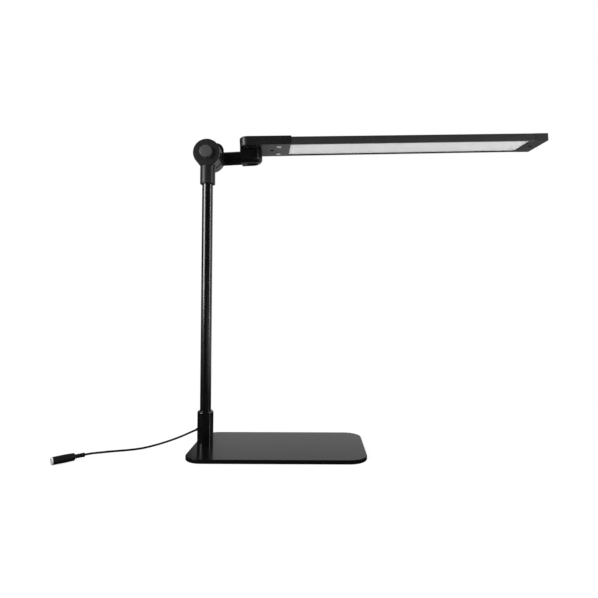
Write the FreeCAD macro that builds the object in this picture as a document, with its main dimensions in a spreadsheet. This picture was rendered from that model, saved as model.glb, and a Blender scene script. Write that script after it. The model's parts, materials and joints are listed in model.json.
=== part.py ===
import FreeCAD, Part
import math
import os
import re

import Sketcher
from FreeCAD import Vector

# LED desk lamp: a flat base plate with a pole at its left end, a friction hinge on the
# pole's top, a short arm, a swivel knuckle and a long light bar with a diffuser below.
# The origin is on the table under the pole's axis, X runs along the base and Z is up.

doc = FreeCAD.newDocument("desk_lamp")

# Driving dimensions, in millimetres and degrees
SIZES = {
    # clearances shared by all pieces
    "overrun": 1.0,
    "seat_gap": 0.05,
    "running_gap": 0.08,
    "turning_gap": 0.1,
    "free_gap": 0.3,
    # pose of the moving pieces
    "hinge_height": 389.6,
    "arm_tilt": 2.8,
    "head_angle": 6.6,
    # base plate and pad
    "base_length": 222.1,
    "base_depth": 126.8,
    "base_corner": 23.0,
    "plate_thickness": 4.6,
    "plate_edge": 0.8,
    "pole_inset": 15.2,
    "pole_setback": 60.8,
    "pad_thickness": 0.4,
    "pad_inset": 0.5,
    # collar, its plug and its screw
    "collar_diameter": 20.7,
    "collar_bore": 16.6,
    "collar_height": 44.6,
    "collar_shoulder": 1.6,
    "collar_mouth": 18.6,
    "plug_height": 21.8,
    "plug_floor": 10.5,
    "plug_chamber": 10.0,
    "collar_screw_thread": 6.0,
    "collar_screw_head": 11.0,
    "collar_screw_length": 13.0,
    # cord, its grommet and its connector
    "cord_diameter": 2.6,
    "grommet_diameter": 3.8,
    "grommet_tip": 3.0,
    "grommet_nose": 2.6,
    "grommet_length": 5.0,
    "boot_length": 11.6,
    "boot_diameter": 5.2,
    "boot_knob": 5.4,
    "connector_length": 24.6,
    "connector_neck": 8.9,
    "connector_girth": 9.7,
    "connector_nose": 9.3,
    "socket_bore": 5.6,
    "socket_depth": 9.5,
    "ring_thickness": 1.4,
    "pin_diameter": 2.1,
    # pole, the ring that holds it and the bush it turns in
    "pole_diameter": 14.2,
    "pole_wall": 1.2,
    "pole_seat": 22.0,
    "pole_ring_height": 3.4,
    "bush_length": 14.6,
    # lower hinge half, on the pole
    "hinge_diameter": 36.2,
    "lower_thickness": 20.0,
    "hinge_chamfer": 0.9,
    "neck_diameter": 19.9,
    "neck_length": 41.0,
    "neck_edge": 0.6,
    "neck_screw_thread": 4.0,
    "wire_bore": 5.0,
    "wire_radius": 11.0,
    # hinge bolt, nut, springs and caps
    "bolt_diameter": 8.0,
    "bolt_head": 13.0,
    "bolt_head_height": 5.0,
    "nut_width": 13.0,
    "nut_height": 4.0,
    "spring_diameter": 14.6,
    "spring_thickness": 0.5,
    "spring_rise": 0.35,
    "cap_diameter": 16.2,
    "cap_proud": 6.0,
    "cap_depth": 2.0,
    "cap_chamfer": 0.7,
    "rear_cap_proud": 0.8,
    "friction_thickness": 0.3,
    "friction_diameter": 29.0,
    # upper hinge half, on the arm
    "upper_thickness": 18.4,
    "barrel_diameter": 36.4,
    "barrel_edge": 1.6,
    "leaf_thickness": 3.6,
    "leaf_diameter": 36.4,
    "leaf_reach": 19.3,
    "leaf_corner": 10.0,
    # arm rod and swivel knuckle
    "rod_diameter": 18.2,
    "rod_wall": 2.0,
    "arm_reach": 56.9,
    "cup_width": 28.0,
    "cup_rear": 14.5,
    "cup_front": 14.0,
    "cup_nose": 13.9,
    "cup_height": 18.2,
    "cup_gap": 0.3,
    "cup_round": 11.5,
    "cup_bore": 15.4,
    "cup_ceiling": 8.8,
    "knuckle_plug_thickness": 2.4,
    "knuckle_plug_recess": 1.2,
    "swivel_diameter": 10.0,
    "swivel_shoulder": 16.0,
    "swivel_bore": 6.0,
    "swivel_nut_width": 12.0,
    "swivel_nut_height": 3.4,
    "swivel_spring_diameter": 14.2,
    "swivel_spring_thickness": 0.8,
    "washer_diameter": 24.0,
    "washer_thickness": 0.8,
    # head housing and its cover
    "underside": 7.65,
    "head_width": 52.0,
    "housing_rear": 15.8,
    "housing_front": 53.5,
    "housing_overhang": 0.2,
    "housing_rise": 2.1,
    "housing_corner": 11.0,
    "housing_edge": 2.4,
    "housing_wall": 2.0,
    "cover_thickness": 2.0,
    "cover_screw_place": 27.7,
    "cover_screw_thread": 3.0,
    "cover_screw_head": 5.6,
    "cover_screw_length": 7.0,
    "boss_diameter": 7.0,
    # control board, switches and buttons
    "board_rear": 32.0,
    "board_front": 50.0,
    "board_width": 42.0,
    "board_thickness": 1.6,
    "board_height": 4.8,
    "post_diameter": 4.6,
    "post_inset": 2.6,
    "post_spread": 16.0,
    "switch_width": 6.0,
    "switch_height": 2.8,
    "plunger_diameter": 3.2,
    "button_place": 37.0,
    "button_spread": 30.8,
    "button_diameter": 6.4,
    "button_flange": 8.4,
    "button_flange_height": 1.0,
    "button_proud": 0.8,
    "button_edge": 0.4,
    "button_travel": 0.6,
    # light profile, LED board and diffuser
    "profile_distance": 52.0,
    "profile_length": 346.0,
    "bar_height": 10.5,
    "profile_wall": 1.6,
    "profile_edge": 0.5,
    "lip_width": 1.4,
    "lip_thickness": 1.65,
    "tongue_width": 30.0,
    "rear_tongue": 62.0,
    "front_tongue": 11.0,
    "diffuser_thickness": 2.0,
    "led_board_width": 40.0,
    "led_board_thickness": 1.2,
    "led_length": 3.5,
    "led_width": 2.8,
    "led_height": 0.7,
    "led_spacing": 14.0,
    "led_row_spread": 20.0,
    # end cap
    "cap_length": 20.6,
    "cap_overlap": 4.0,
    "cap_end_round": 0.6,
    "cap_root": 0.8,
    "cap_tongue_height": 6.6,
    "cap_screw_place": 405.7,
    "cap_screw_thread": 2.6,
    "cap_screw_head": 5.0,
    "cap_screw_length": 9.6,
}
# Proportions of a socket head screw's drive, as parts of its head
SOCKET_WIDTH_SHARE = 0.4
SOCKET_DEPTH_SHARE = 0.2
# Ribs along the cord boot, as parts of its length, and their depth as a part of its radius
BOOT_RIB_SHARES = (0.28, 0.52, 0.76)
BOOT_GROOVE_SHARE = 0.08
BOOT_DEPTH_SHARE = 0.22
# Places along the connector's body where its width changes, as parts of its length
GIRTH_SHARE = 0.42
NOSE_SHARE = 0.86
# How much of the arm tube each of its two spigots fills
SPIGOT_SHARE = 0.42
# Where the switch plunger ends, as a part of the button's travel
TRAVEL_SPARE_SHARE = 1.2

sheet = doc.addObject("Spreadsheet::Sheet", "Sizes")
for row, (alias, number) in enumerate(SIZES.items(), start=1):
    sheet.set(f"A{row}", alias)
    sheet.set(f"B{row}", str(number))
    sheet.setAlias(f"B{row}", alias)
doc.recompute()

# The cord's route from the grommet's tip to the connector's boot: down from the collar,
# then along the table and up to the middle of the boot.
CORD_ROUTE = [
    (-12.8, 0.0, 24.2), (-18.5, 0.0, 21.7), (-29.0, -0.2, 16.9), (-42.0, 0.0, 11.9),
    (-55.0, -0.4, 7.6), (-67.5, -0.8, 4.1), (-78.5, -3.0, 1.9), (-88.0, -7.6, 1.4),
    (-99.0, -12.2, 1.4), (-110.0, -15.4, 1.4), (-119.4, -19.6, 1.7), (-126.6, -26.5, 2.65),
    (-130.5, -33.4, 4.05), (-134.21, -39.11, 4.95), (-138.2, -42.9, 4.95),
]
# Edges this close to a plane or a direction count as lying in it
CLOSE = 0.001
# How much of the shorter of two runs an arc between them takes up
ARC_SHARE = 0.45

# Levels and radii that several pieces share
BASE_TOP = "(pad_thickness + plate_thickness)"
POLE_RADIUS = "(pole_diameter / 2)"
COLLAR_BORE = "(collar_bore / 2)"
RING_FOOT = "(plug_height + turning_gap)"
BUSH_FOOT = "(plug_height + pole_ring_height + 2 * turning_gap)"
BUSH_TOP = f"({BUSH_FOOT} + bush_length)"
FACE = "(lower_thickness / 2)"
UPPER_FACE = "(lower_thickness / 2 + friction_thickness + turning_gap)"
UPPER_BACK = f"({UPPER_FACE} + upper_thickness)"
ARM_DEPTH = f"({UPPER_FACE} + upper_thickness / 2)"
CAP_BORE = "(cap_diameter / 2 + seat_gap)"
SPRING_STACK = "(2 * (spring_thickness + spring_rise))"
NUT_FLOOR = f"({FACE} - cap_depth - nut_height - {SPRING_STACK} - 4 * turning_gap)"
HEAD_FLOOR = f"({UPPER_BACK} - cap_depth - bolt_head_height - turning_gap)"
SPIGOT = f"((arm_reach - cup_rear - leaf_reach) * {SPIGOT_SHARE})"
ROD_LEVEL = "(underside - cup_gap - cup_height / 2)"
CUP_TOP = "(underside - cup_gap)"
CUP_FOOT = "(underside - cup_gap - cup_height)"
CUP_CEILING = f"({CUP_FOOT} + cup_ceiling)"
SWIVEL_SPRING_FOOT = f"({CUP_CEILING} - turning_gap - swivel_spring_thickness)"
SWIVEL_NUT_FOOT = f"({SWIVEL_SPRING_FOOT} - seat_gap - swivel_nut_height)"
COVER_TOP = "(underside + cover_thickness)"
BAR_TOP = "(underside + bar_height)"
WEB_FOOT = "(underside + bar_height - profile_wall)"
PROFILE_END = "(profile_distance + profile_length)"
HALF_WIDTH = "(head_width / 2)"
INNER_HALF = "(head_width / 2 - profile_wall)"
HOUSING_HALF = "(head_width / 2 + housing_overhang)"
HOUSING_TOP = f"({BAR_TOP} + housing_rise)"
BOARD_FOOT = f"({COVER_TOP} + board_height)"
LED_BOARD_FOOT = f"({WEB_FOOT} - led_board_thickness)"
BUTTON_FLANGE_FOOT = f"({COVER_TOP} + seat_gap)"

# The frames that the pieces are placed in
BASE = "placement(vector(0; 0; 0); rotation(vector(0; 0; 1); 0))"
COLLAR = f"placement(vector(0; 0; {BASE_TOP}); rotation(vector(0; 0; 1); 0))"
HINGE = "placement(vector(0; 0; hinge_height); rotation(vector(0; 0; 1); 0))"
ARM = "placement(vector(0; 0; hinge_height); rotation(vector(0; -1; 0); arm_tilt))"
KNUCKLE = f"{ARM} * placement(vector(arm_reach; {ARM_DEPTH}; 0); rotation(vector(0; 0; 1); 0))"
HEAD = f"{ARM} * placement(vector(arm_reach; {ARM_DEPTH}; 0); rotation(vector(0; 0; 1); head_angle))"
(X, Y, Z) = range(3)
LAST_RUN = [end - start for start, end in zip(CORD_ROUTE[-2], CORD_ROUTE[-1])]
FIRST_RUN = [end - start for start, end in zip(CORD_ROUTE[0], CORD_ROUTE[1])]
HEADING = math.degrees(math.atan2(LAST_RUN[Y], LAST_RUN[X]))
FALL = math.degrees(math.atan2(FIRST_RUN[X], FIRST_RUN[Z]))
FREE_END = "vector({}; {}; {})".format(*CORD_ROUTE[-1])
EXIT = "vector({}; {}; {})".format(*CORD_ROUTE[0])
CONNECTOR = f"placement({FREE_END}; rotation(vector(0; 0; 1); {HEADING}))"
GROMMET = f"placement({EXIT}; rotation(vector(0; 1; 0); {FALL}))"

# Turns that lay a piece's own Z axis along a direction
TURNS = {
    "+Z": "rotation(vector(0; 0; 1); 0)",
    "-Z": "rotation(vector(1; 0; 0); 180)",
    "+Y": "rotation(vector(1; 0; 0); -90)",
    "-Y": "rotation(vector(1; 0; 0); 90)",
    "+X": "rotation(vector(0; 1; 0); 90)",
    "-X": "rotation(vector(0; 1; 0); -90)",
}
ORIGIN = ("0", "0", "0")
PIECES = {}


def bound(text):
    """The expression with each size's alias pointed at the sheet."""
    return re.sub(r"[a-z]\w*", lambda m: f"Sizes.{m.group()}" if m.group() in SIZES else m.group(), text)


def place(obj, frame, at=ORIGIN, along="+Z"):
    """Ties the object's placement to a frame, a point in it and a direction of its own axis."""
    obj.setExpression("Placement", bound(f"{frame} * placement(vector({'; '.join(at)}); {TURNS[along]})"))
    return obj


def piece(obj, label, frame, at=ORIGIN, along="+Z"):
    """Names a finished sub-part and puts it in its frame."""
    obj.Label = label
    PIECES[label] = place(obj, frame, at, along)
    return obj


def new_body(name):
    return doc.addObject("PartDesign::Body", name)


def outline(body, role, points):
    """A closed polygon sketch on one of the body's origin planes, its points tied to the sheet."""
    sketch = body.newObject("Sketcher::SketchObject", f"{body.Name}_outline")
    sketch.AttachmentSupport = [(next(o for o in body.Origin.OriginFeatures if o.Role == role), "")]
    sketch.MapMode = "FlatFace"
    count = len(points)
    angles = [2 * math.pi * k / count for k in range(count)]
    corners = [Vector(math.cos(angle), math.sin(angle), 0) for angle in angles]
    sides = zip(corners, corners[1:] + corners[:1])
    sketch.addGeometry([Part.LineSegment(start, end) for start, end in sides], False)
    for k in range(count):
        sketch.addConstraint(Sketcher.Constraint("Coincident", k, 2, (k + 1) % count, 1))
    for k, point in enumerate(points):
        for kind, start, text in zip(("DistanceX", "DistanceY"), (corners[k].x, corners[k].y), point):
            index = sketch.addConstraint(Sketcher.Constraint(kind, -1, 1, k, 1, start))
            sketch.setExpression(f"Constraints[{index}]", bound(text))
    return sketch


def pad(body, role, points, length):
    """A prism of the outline, raised along the plane's normal."""
    feature = body.newObject("PartDesign::Pad", f"{body.Name}_pad")
    feature.Profile = outline(body, role, points)
    feature.setExpression("Length", bound(length))
    doc.recompute()
    return feature


def edges(feature, test):
    """Names of the feature's edges that pass the test."""
    return [f"Edge{k}" for k, edge in enumerate(feature.Shape.Edges, start=1) if test(edge)]


def runs_along(edge, axis):
    """True for a straight edge that lies along the axis."""
    return isinstance(edge.Curve, Part.Line) and abs(edge.Curve.Direction.cross(axis).Length) < CLOSE


def lies_at(edge, feature, side):
    """True for an edge that lies wholly in one side of the feature's box, such as ZMax."""
    level = getattr(feature.Shape.BoundBox, side)
    ends = (getattr(edge.BoundBox, f"{side[0]}Min"), getattr(edge.BoundBox, f"{side[0]}Max"))
    return max(abs(end - level) for end in ends) < CLOSE


def dress(body, kind, feature, names, size):
    """A fillet or chamfer of named size on some of the feature's edges."""
    dressed = body.newObject(f"PartDesign::{kind}", f"{body.Name}_{kind.lower()}")
    dressed.Base = (feature, names)
    dressed.setExpression("Radius" if kind == "Fillet" else "Size", bound(size))
    doc.recompute()
    return dressed


def slab(name, left, right, near, far, height):
    """A body that is an upright prism with a rectangular plan."""
    body = new_body(name)
    plan = [(left, near), (right, near), (right, far), (left, far)]
    return body, pad(body, "XY_Plane", plan, height)


def turned(name, profile, at=ORIGIN, along="+Z"):
    """A body of revolution: pairs of radius and height about its own axis, laid along a direction."""
    body = new_body(name)
    feature = body.newObject("PartDesign::Revolution", f"{name}_turn")
    sketch = outline(body, "XZ_Plane", profile)
    feature.Profile = sketch
    feature.ReferenceAxis = (sketch, ["V_Axis"])
    return place(body, BASE, at, along)


def sleeve(name, inner, outer, low, high, at=ORIGIN, along="+Z"):
    """A plain ring or tube."""
    return turned(name, [(inner, low), (outer, low), (outer, high), (inner, high)], at, along)


def cylinder(name, radius, height, at=ORIGIN, along="+Z"):
    obj = doc.addObject("Part::Cylinder", name)
    obj.setExpression("Radius", bound(radius))
    obj.setExpression("Height", bound(height))
    return place(obj, BASE, at, along)


def box(name, low, high):
    """A block between two corners."""
    obj = doc.addObject("Part::Box", name)
    for side, start, end in zip(("Length", "Width", "Height"), low, high):
        obj.setExpression(side, bound(f"({end}) - ({start})"))
    return place(obj, BASE, low)


def hexagon(name, width, height, at=ORIGIN, along="+Z"):
    """A hexagonal prism, measured across its flats."""
    obj = doc.addObject("Part::Prism", name)
    obj.Polygon = 6
    obj.setExpression("Circumradius", bound(f"({width}) / 2 / cos(30 deg)"))
    obj.setExpression("Height", bound(height))
    return place(obj, BASE, at, along)


def fuse(name, *shapes):
    obj = doc.addObject("Part::MultiFuse", name)
    obj.Shapes = list(shapes)
    return obj


def cut(name, base, *tools):
    obj = doc.addObject("Part::Cut", name)
    obj.Base = base
    obj.Tool = tools[0] if len(tools) == 1 else fuse(f"{name}_cutters", *tools)
    return obj


def compound(name, *shapes):
    obj = doc.addObject("Part::Compound", name)
    obj.Links = list(shapes)
    return obj


def screw(label, frame, at, along="+Z"):
    """A countersunk screw with a hexagon socket, its head's face on the point."""
    head, thread = f"{label}_head / 2", f"{label}_thread / 2"
    shank = turned(f"{label}_shank", [("0", "0"), (head, "0"), (thread, f"{head} - {thread}"),
                                      (thread, f"{label}_length"), ("0", f"{label}_length")])
    drive = hexagon(f"{label}_drive", f"{label}_head * {SOCKET_WIDTH_SHARE}",
                    f"{label}_head * {SOCKET_DEPTH_SHARE} + overrun", ("0", "0", "-overrun"))
    return piece(cut(label, shank, drive), label, frame, at, along)


def screw_seat(name, label, at, along="+Z"):
    """The countersunk hole that a screw sits in, as a solid to cut with."""
    head, thread = f"{label}_head / 2 + seat_gap", f"{label}_thread / 2 + seat_gap"
    rise, end = f"({label}_head - {label}_thread) / 2", f"{label}_length + overrun"
    profile = [("0", "-overrun"), (head, "-overrun"), (head, "0"), (thread, rise), (thread, end),
               ("0", end)]
    return turned(name, profile, at, along)


# Base

def base_plate():
    """Steel plate with round corners, a softened top edge and one countersunk hole below the pole."""
    body, plate = slab("plate_blank", "-pole_inset", "base_length - pole_inset",
                       "-pole_setback", "base_depth - pole_setback", "plate_thickness")
    corners = edges(plate, lambda e: runs_along(e, Vector(0, 0, 1)))
    rounded = dress(body, "Fillet", plate, corners, "base_corner")
    dress(body, "Fillet", rounded, edges(rounded, lambda e: lies_at(e, rounded, "ZMax")), "plate_edge")
    plate_hole = screw_seat("plate_hole", "collar_screw", ORIGIN)
    piece(cut("base_plate", body, plate_hole), "base_plate", BASE, ("0", "0", "pad_thickness"))


def base_pad():
    """Soft pad glued under the plate, a little smaller all round."""
    body, foam = slab("pad_blank", "pad_inset - pole_inset", "base_length - pole_inset - pad_inset",
                      "pad_inset - pole_setback", "base_depth - pole_setback - pad_inset", "pad_thickness")
    corners = edges(foam, lambda e: runs_along(e, Vector(0, 0, 1)))
    dress(body, "Fillet", foam, corners, "base_corner - pad_inset")
    piece(body, "base_pad", BASE)


def cord_hole(name):
    """The sloping side hole through collar and plug that the grommet sits in."""
    hole = doc.addObject("Part::Cylinder", name)
    hole.setExpression("Radius", bound("grommet_diameter / 2 + seat_gap"))
    hole.setExpression("Height", bound("collar_diameter"))
    lowered = f"placement(vector(0; 0; -{BASE_TOP}); rotation(vector(0; 0; 1); 0)) * {GROMMET}"
    return place(hole, lowered, ("0", "0", "grommet_nose - collar_diameter / 2"))


def collar():
    """Sleeve round the pole's foot, with a conical shoulder and a throat for the pole."""
    outer, throat = "collar_diameter / 2", f"{POLE_RADIUS} + free_gap"
    step = f"{BUSH_TOP} + seat_gap"
    blank = turned("collar_blank", [
        (COLLAR_BORE, "0"), (outer, "0"), (outer, "collar_height - collar_shoulder"),
        ("collar_mouth / 2", "collar_height"), (throat, "collar_height"), (throat, step),
        (COLLAR_BORE, step)])
    piece(cut("collar", blank, cord_hole("collar_cord_hole")), "collar", COLLAR)


def collar_plug():
    """Plug in the collar's foot: it takes the screw, carries the pole and lets the leads through."""
    thread, outer = "collar_screw_thread / 2 + seat_gap", f"{COLLAR_BORE} - seat_gap"
    blank = turned("plug_blank", [
        (thread, "0"), (outer, "0"), (outer, "plug_height"), ("plug_chamber / 2", "plug_height"),
        ("plug_chamber / 2", "plug_floor"), (thread, "plug_floor")])
    piece(cut("collar_plug", blank, cord_hole("plug_cord_hole")), "collar_plug", COLLAR)


def swivel_bush():
    """Plain bush in the collar that the pole turns in."""
    inner, outer = f"{POLE_RADIUS} + running_gap", f"{COLLAR_BORE} - seat_gap"
    ring = sleeve("bush_ring", inner, outer, "0", "bush_length")
    piece(ring, "swivel_bush", COLLAR, ("0", "0", BUSH_FOOT))


def cord_grommet():
    """Short tapered grommet that the cord leaves the collar by."""
    outer, tip = "grommet_diameter / 2", "grommet_tip / 2"
    stub = turned("grommet_stub", [
        ("0", "-grommet_length"), (outer, "-grommet_length"), (outer, "-grommet_nose"), (tip, "0"),
        ("0", "0")])
    piece(stub, "cord_grommet", GROMMET)


# Cord and connector

def power_cord():
    """Round lead along its route: straight runs joined by tangent arcs as large as the runs allow."""
    route = [Vector(*point) for point in CORD_ROUTE]
    radius = SIZES["cord_diameter"] / 2
    path_edges, radii, start = [], [], route[0]
    for before, corner, after in zip(route, route[1:], route[2:]):
        arriving, leaving = (corner - before).normalize(), (after - corner).normalize()
        reach = ARC_SHARE * min((corner - before).Length, (after - corner).Length)
        radii.append(reach / math.tan(arriving.getAngle(leaving) / 2))
        first, last = corner - arriving * reach, corner + leaving * reach
        sagitta = radii[-1] * (1 / math.cos(arriving.getAngle(leaving) / 2) - 1)
        middle = corner + (leaving - arriving).normalize() * sagitta
        path_edges += [Part.LineSegment(start, first).toShape(), Part.Arc(first, middle, last).toShape()]
        start = last
    path_edges.append(Part.LineSegment(start, route[-1]).toShape())
    path = Part.Wire(path_edges)
    section = Part.Wire([Part.Circle(route[0], route[1] - route[0], radius).toShape()])
    cord = doc.addObject("Part::Feature", "cord_tube")
    cord.Shape = path.makePipeShell([section], True, False)
    print("cord radii", " ".join(f"{r:.1f}" for r in radii))
    print(f"cord length {path.Length:.1f}, volume {cord.Shape.Volume:.1f},"
          f" section times length {math.pi * radius ** 2 * path.Length:.1f}")
    piece(cord, "power_cord", BASE)


def cord_boot():
    """Ribbed boot that eases the cord into the connector."""
    outer, root = "boot_diameter / 2", f"boot_diameter / 2 * {1 - BOOT_DEPTH_SHARE}"
    profile = [("0", "0"), ("boot_knob / 2", "0"), ("boot_knob / 2", f"boot_length * {BOOT_GROOVE_SHARE}")]
    for share in BOOT_RIB_SHARES:
        low, high = f"boot_length * {share - BOOT_GROOVE_SHARE}", f"boot_length * {share}"
        profile += [(outer, low), (root, low), (root, high), (outer, high)]
    profile += [(outer, "boot_length"), ("0", "boot_length")]
    piece(turned("boot_turning", profile), "cord_boot", CONNECTOR, ORIGIN, "+X")


def connector_body():
    """Moulded in-line power socket: a barrel that swells in the middle, with a round well in front."""
    well = "connector_length - socket_depth"
    barrel = turned("connector_barrel", [
        ("0", "0"), ("connector_neck / 2", "0"),
        ("connector_girth / 2", f"connector_length * {GIRTH_SHARE}"),
        ("connector_nose / 2", f"connector_length * {NOSE_SHARE}"),
        ("connector_nose / 2", "connector_length"),
        ("socket_bore / 2", "connector_length"), ("socket_bore / 2", well), ("0", well)])
    piece(barrel, "connector_body", CONNECTOR, ("boot_length", "0", "0"), "+X")


def connector_ring():
    """Bright metal ring on the socket's face."""
    ring = sleeve("ring_turning", "socket_bore / 2", "connector_nose / 2", "0", "ring_thickness")
    piece(ring, "connector_ring", CONNECTOR, ("boot_length + connector_length", "0", "0"), "+X")


def connector_pin():
    """Centre pin on the floor of the socket's well."""
    side, tip = "pin_diameter / 2", "pin_diameter / 4"
    pin = turned("pin_turning", [("0", "0"), (side, "0"), (side, f"socket_depth - {tip}"),
                                 (tip, "socket_depth"), ("0", "socket_depth")])
    foot = "boot_length + connector_length - socket_depth"
    piece(pin, "connector_pin", CONNECTOR, (foot, "0", "0"), "+X")


# Pole and lower hinge half

def pole():
    """Straight steel tube from the collar's plug up into the hinge's neck."""
    foot = f"{BASE_TOP} + {RING_FOOT}"
    tube = sleeve("pole_tube", f"{POLE_RADIUS} - pole_wall", POLE_RADIUS, "0",
                  f"hinge_height - neck_length + pole_seat - ({foot})")
    piece(tube, "pole", BASE, ("0", "0", foot))


def pole_ring():
    """Ring on the pole's foot, held between the plug and the bush."""
    inner, outer = f"{POLE_RADIUS} + seat_gap", f"{COLLAR_BORE} - free_gap"
    ring = sleeve("pole_ring_turning", inner, outer, "0", "pole_ring_height")
    piece(ring, "pole_ring", COLLAR, ("0", "0", RING_FOOT))


def lower_hinge():
    """Lower hinge half: a thick disc on the tilt axis with a round neck that the pole plugs into."""
    radius = "hinge_diameter / 2"
    disc = turned("lower_disc", [
        ("0", f"-{FACE}"), (f"{radius} - hinge_chamfer", f"-{FACE}"), (radius, f"hinge_chamfer - {FACE}"),
        (radius, FACE), ("0", FACE)], ORIGIN, "+Y")
    neck = turned("lower_neck", [
        ("0", "0"), ("neck_diameter / 2", "0"), ("neck_diameter / 2", "neck_length - neck_edge"),
        ("neck_diameter / 2 - neck_edge", "neck_length"), ("0", "neck_length")], ORIGIN, "-Z")
    bolt_bore = cylinder("lower_bolt_bore", "bolt_diameter / 2 + running_gap", "2 * lower_thickness",
                         ("0", "-lower_thickness", "0"), "+Y")
    cap_well = cylinder("lower_cap_well", CAP_BORE, f"{FACE} - {NUT_FLOOR} + overrun",
                        ("0", f"-{NUT_FLOOR}", "0"), "-Y")
    pole_bore = cylinder("lower_pole_bore", f"{POLE_RADIUS} + seat_gap", "pole_seat + overrun",
                         ("0", "0", "-neck_length - overrun"))
    riser = cylinder("lower_wire_riser", "wire_bore / 2", "neck_length - pole_seat - wire_radius + overrun",
                     ("0", "0", "-wire_radius"), "-Z")
    crossing = cylinder("lower_wire_crossing", "wire_bore / 2", f"{FACE} + overrun",
                        ("0", "0", "-wire_radius"), "+Y")
    screw_hole = cylinder("lower_screw_hole", "neck_screw_thread / 2 + seat_gap", "neck_diameter",
                          ("0", "0", "pole_seat / 2 - neck_length"), "+Y")
    solid = fuse("lower_solid", disc, neck)
    half = cut("lower_hinge", solid, bolt_bore, cap_well, pole_bore, riser, crossing, screw_hole)
    piece(half, "lower_hinge", HINGE)


def neck_screw():
    """Grub screw at the back of the neck that clamps the pole."""
    length = f"neck_diameter / 2 - {POLE_RADIUS} - neck_edge"
    shank = cylinder("neck_screw_shank", "neck_screw_thread / 2", length)
    width, half = f"neck_screw_thread * {SOCKET_WIDTH_SHARE}", f"({length}) / 2"
    drive = hexagon("neck_screw_drive", width, f"{half} + overrun", ("0", "0", half))
    piece(cut("neck_screw", shank, drive), "neck_screw", HINGE,
          ("0", f"{POLE_RADIUS} + seat_gap", "pole_seat / 2 - neck_length"), "+Y")


def hinge_cap():
    """Raised round cap over the nut, in the middle of the disc's front."""
    radius, height = "cap_diameter / 2", "cap_depth + cap_proud"
    button = turned("cap_turning", [("0", "0"), (radius, "0"), (radius, f"{height} - cap_chamfer"),
                                    (f"{radius} - cap_chamfer", height), ("0", height)])
    piece(button, "hinge_cap", HINGE, ("0", f"cap_depth - {FACE}", "0"), "-Y")


def friction_washer():
    """Thin washer between the two hinge halves, with a hole for the leads."""
    inner, outer = "bolt_diameter / 2 + running_gap", "friction_diameter / 2"
    ring = sleeve("friction_ring", inner, outer, "0", "friction_thickness", ("0", FACE, "0"), "+Y")
    lead_hole = cylinder("friction_lead_hole", "wire_bore / 2", "lower_thickness",
                         ("0", "0", "-wire_radius"), "+Y")
    piece(cut("friction_washer", ring, lead_hole), "friction_washer", HINGE)


# Upper hinge half, arm and knuckle

def hinge_bolt():
    """Hexagon bolt along the tilt axis, its head keyed in the upper half."""
    head = hexagon("bolt_hexagon", "bolt_head", "bolt_head_height", ("0", HEAD_FLOOR, "0"), "+Y")
    end = f"{FACE} - cap_depth - turning_gap"
    shank = cylinder("bolt_shank", "bolt_diameter / 2", f"{HEAD_FLOOR} + {end} + overrun",
                     ("0", f"{HEAD_FLOOR} + overrun", "0"), "-Y")
    piece(fuse("hinge_bolt", head, shank), "hinge_bolt", ARM)


def disc_spring(name, foot, along):
    """One coned spring washer on the bolt, its narrow side on the foot."""
    inner, outer = "bolt_diameter / 2 + seat_gap", "spring_diameter / 2"
    profile = [(inner, "0"), (inner, "spring_thickness"), (outer, "spring_rise + spring_thickness"),
               (outer, "spring_rise")]
    return turned(name, profile, ("0", foot, "0"), along)


def hinge_springs():
    """Two coned washers, back to back, that keep the hinge tight."""
    foot = f"-{NUT_FLOOR} - turning_gap"
    outward = disc_spring("spring_inner", foot, "-Y")
    inward = disc_spring("spring_outer", f"{foot} - {SPRING_STACK} - seat_gap", "+Y")
    piece(compound("hinge_springs", outward, inward), "hinge_springs", ARM)


def hinge_nut():
    """Nut that draws the two halves together."""
    foot = f"-{NUT_FLOOR} - {SPRING_STACK} - 2 * turning_gap"
    block = hexagon("nut_hexagon", "nut_width", "nut_height", ("0", foot, "0"), "-Y")
    bore = cylinder("nut_bore", "bolt_diameter / 2 + seat_gap", "4 * nut_height",
                    ("0", f"{foot} + nut_height", "0"), "-Y")
    piece(cut("hinge_nut", block, bore), "hinge_nut", ARM)


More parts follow.
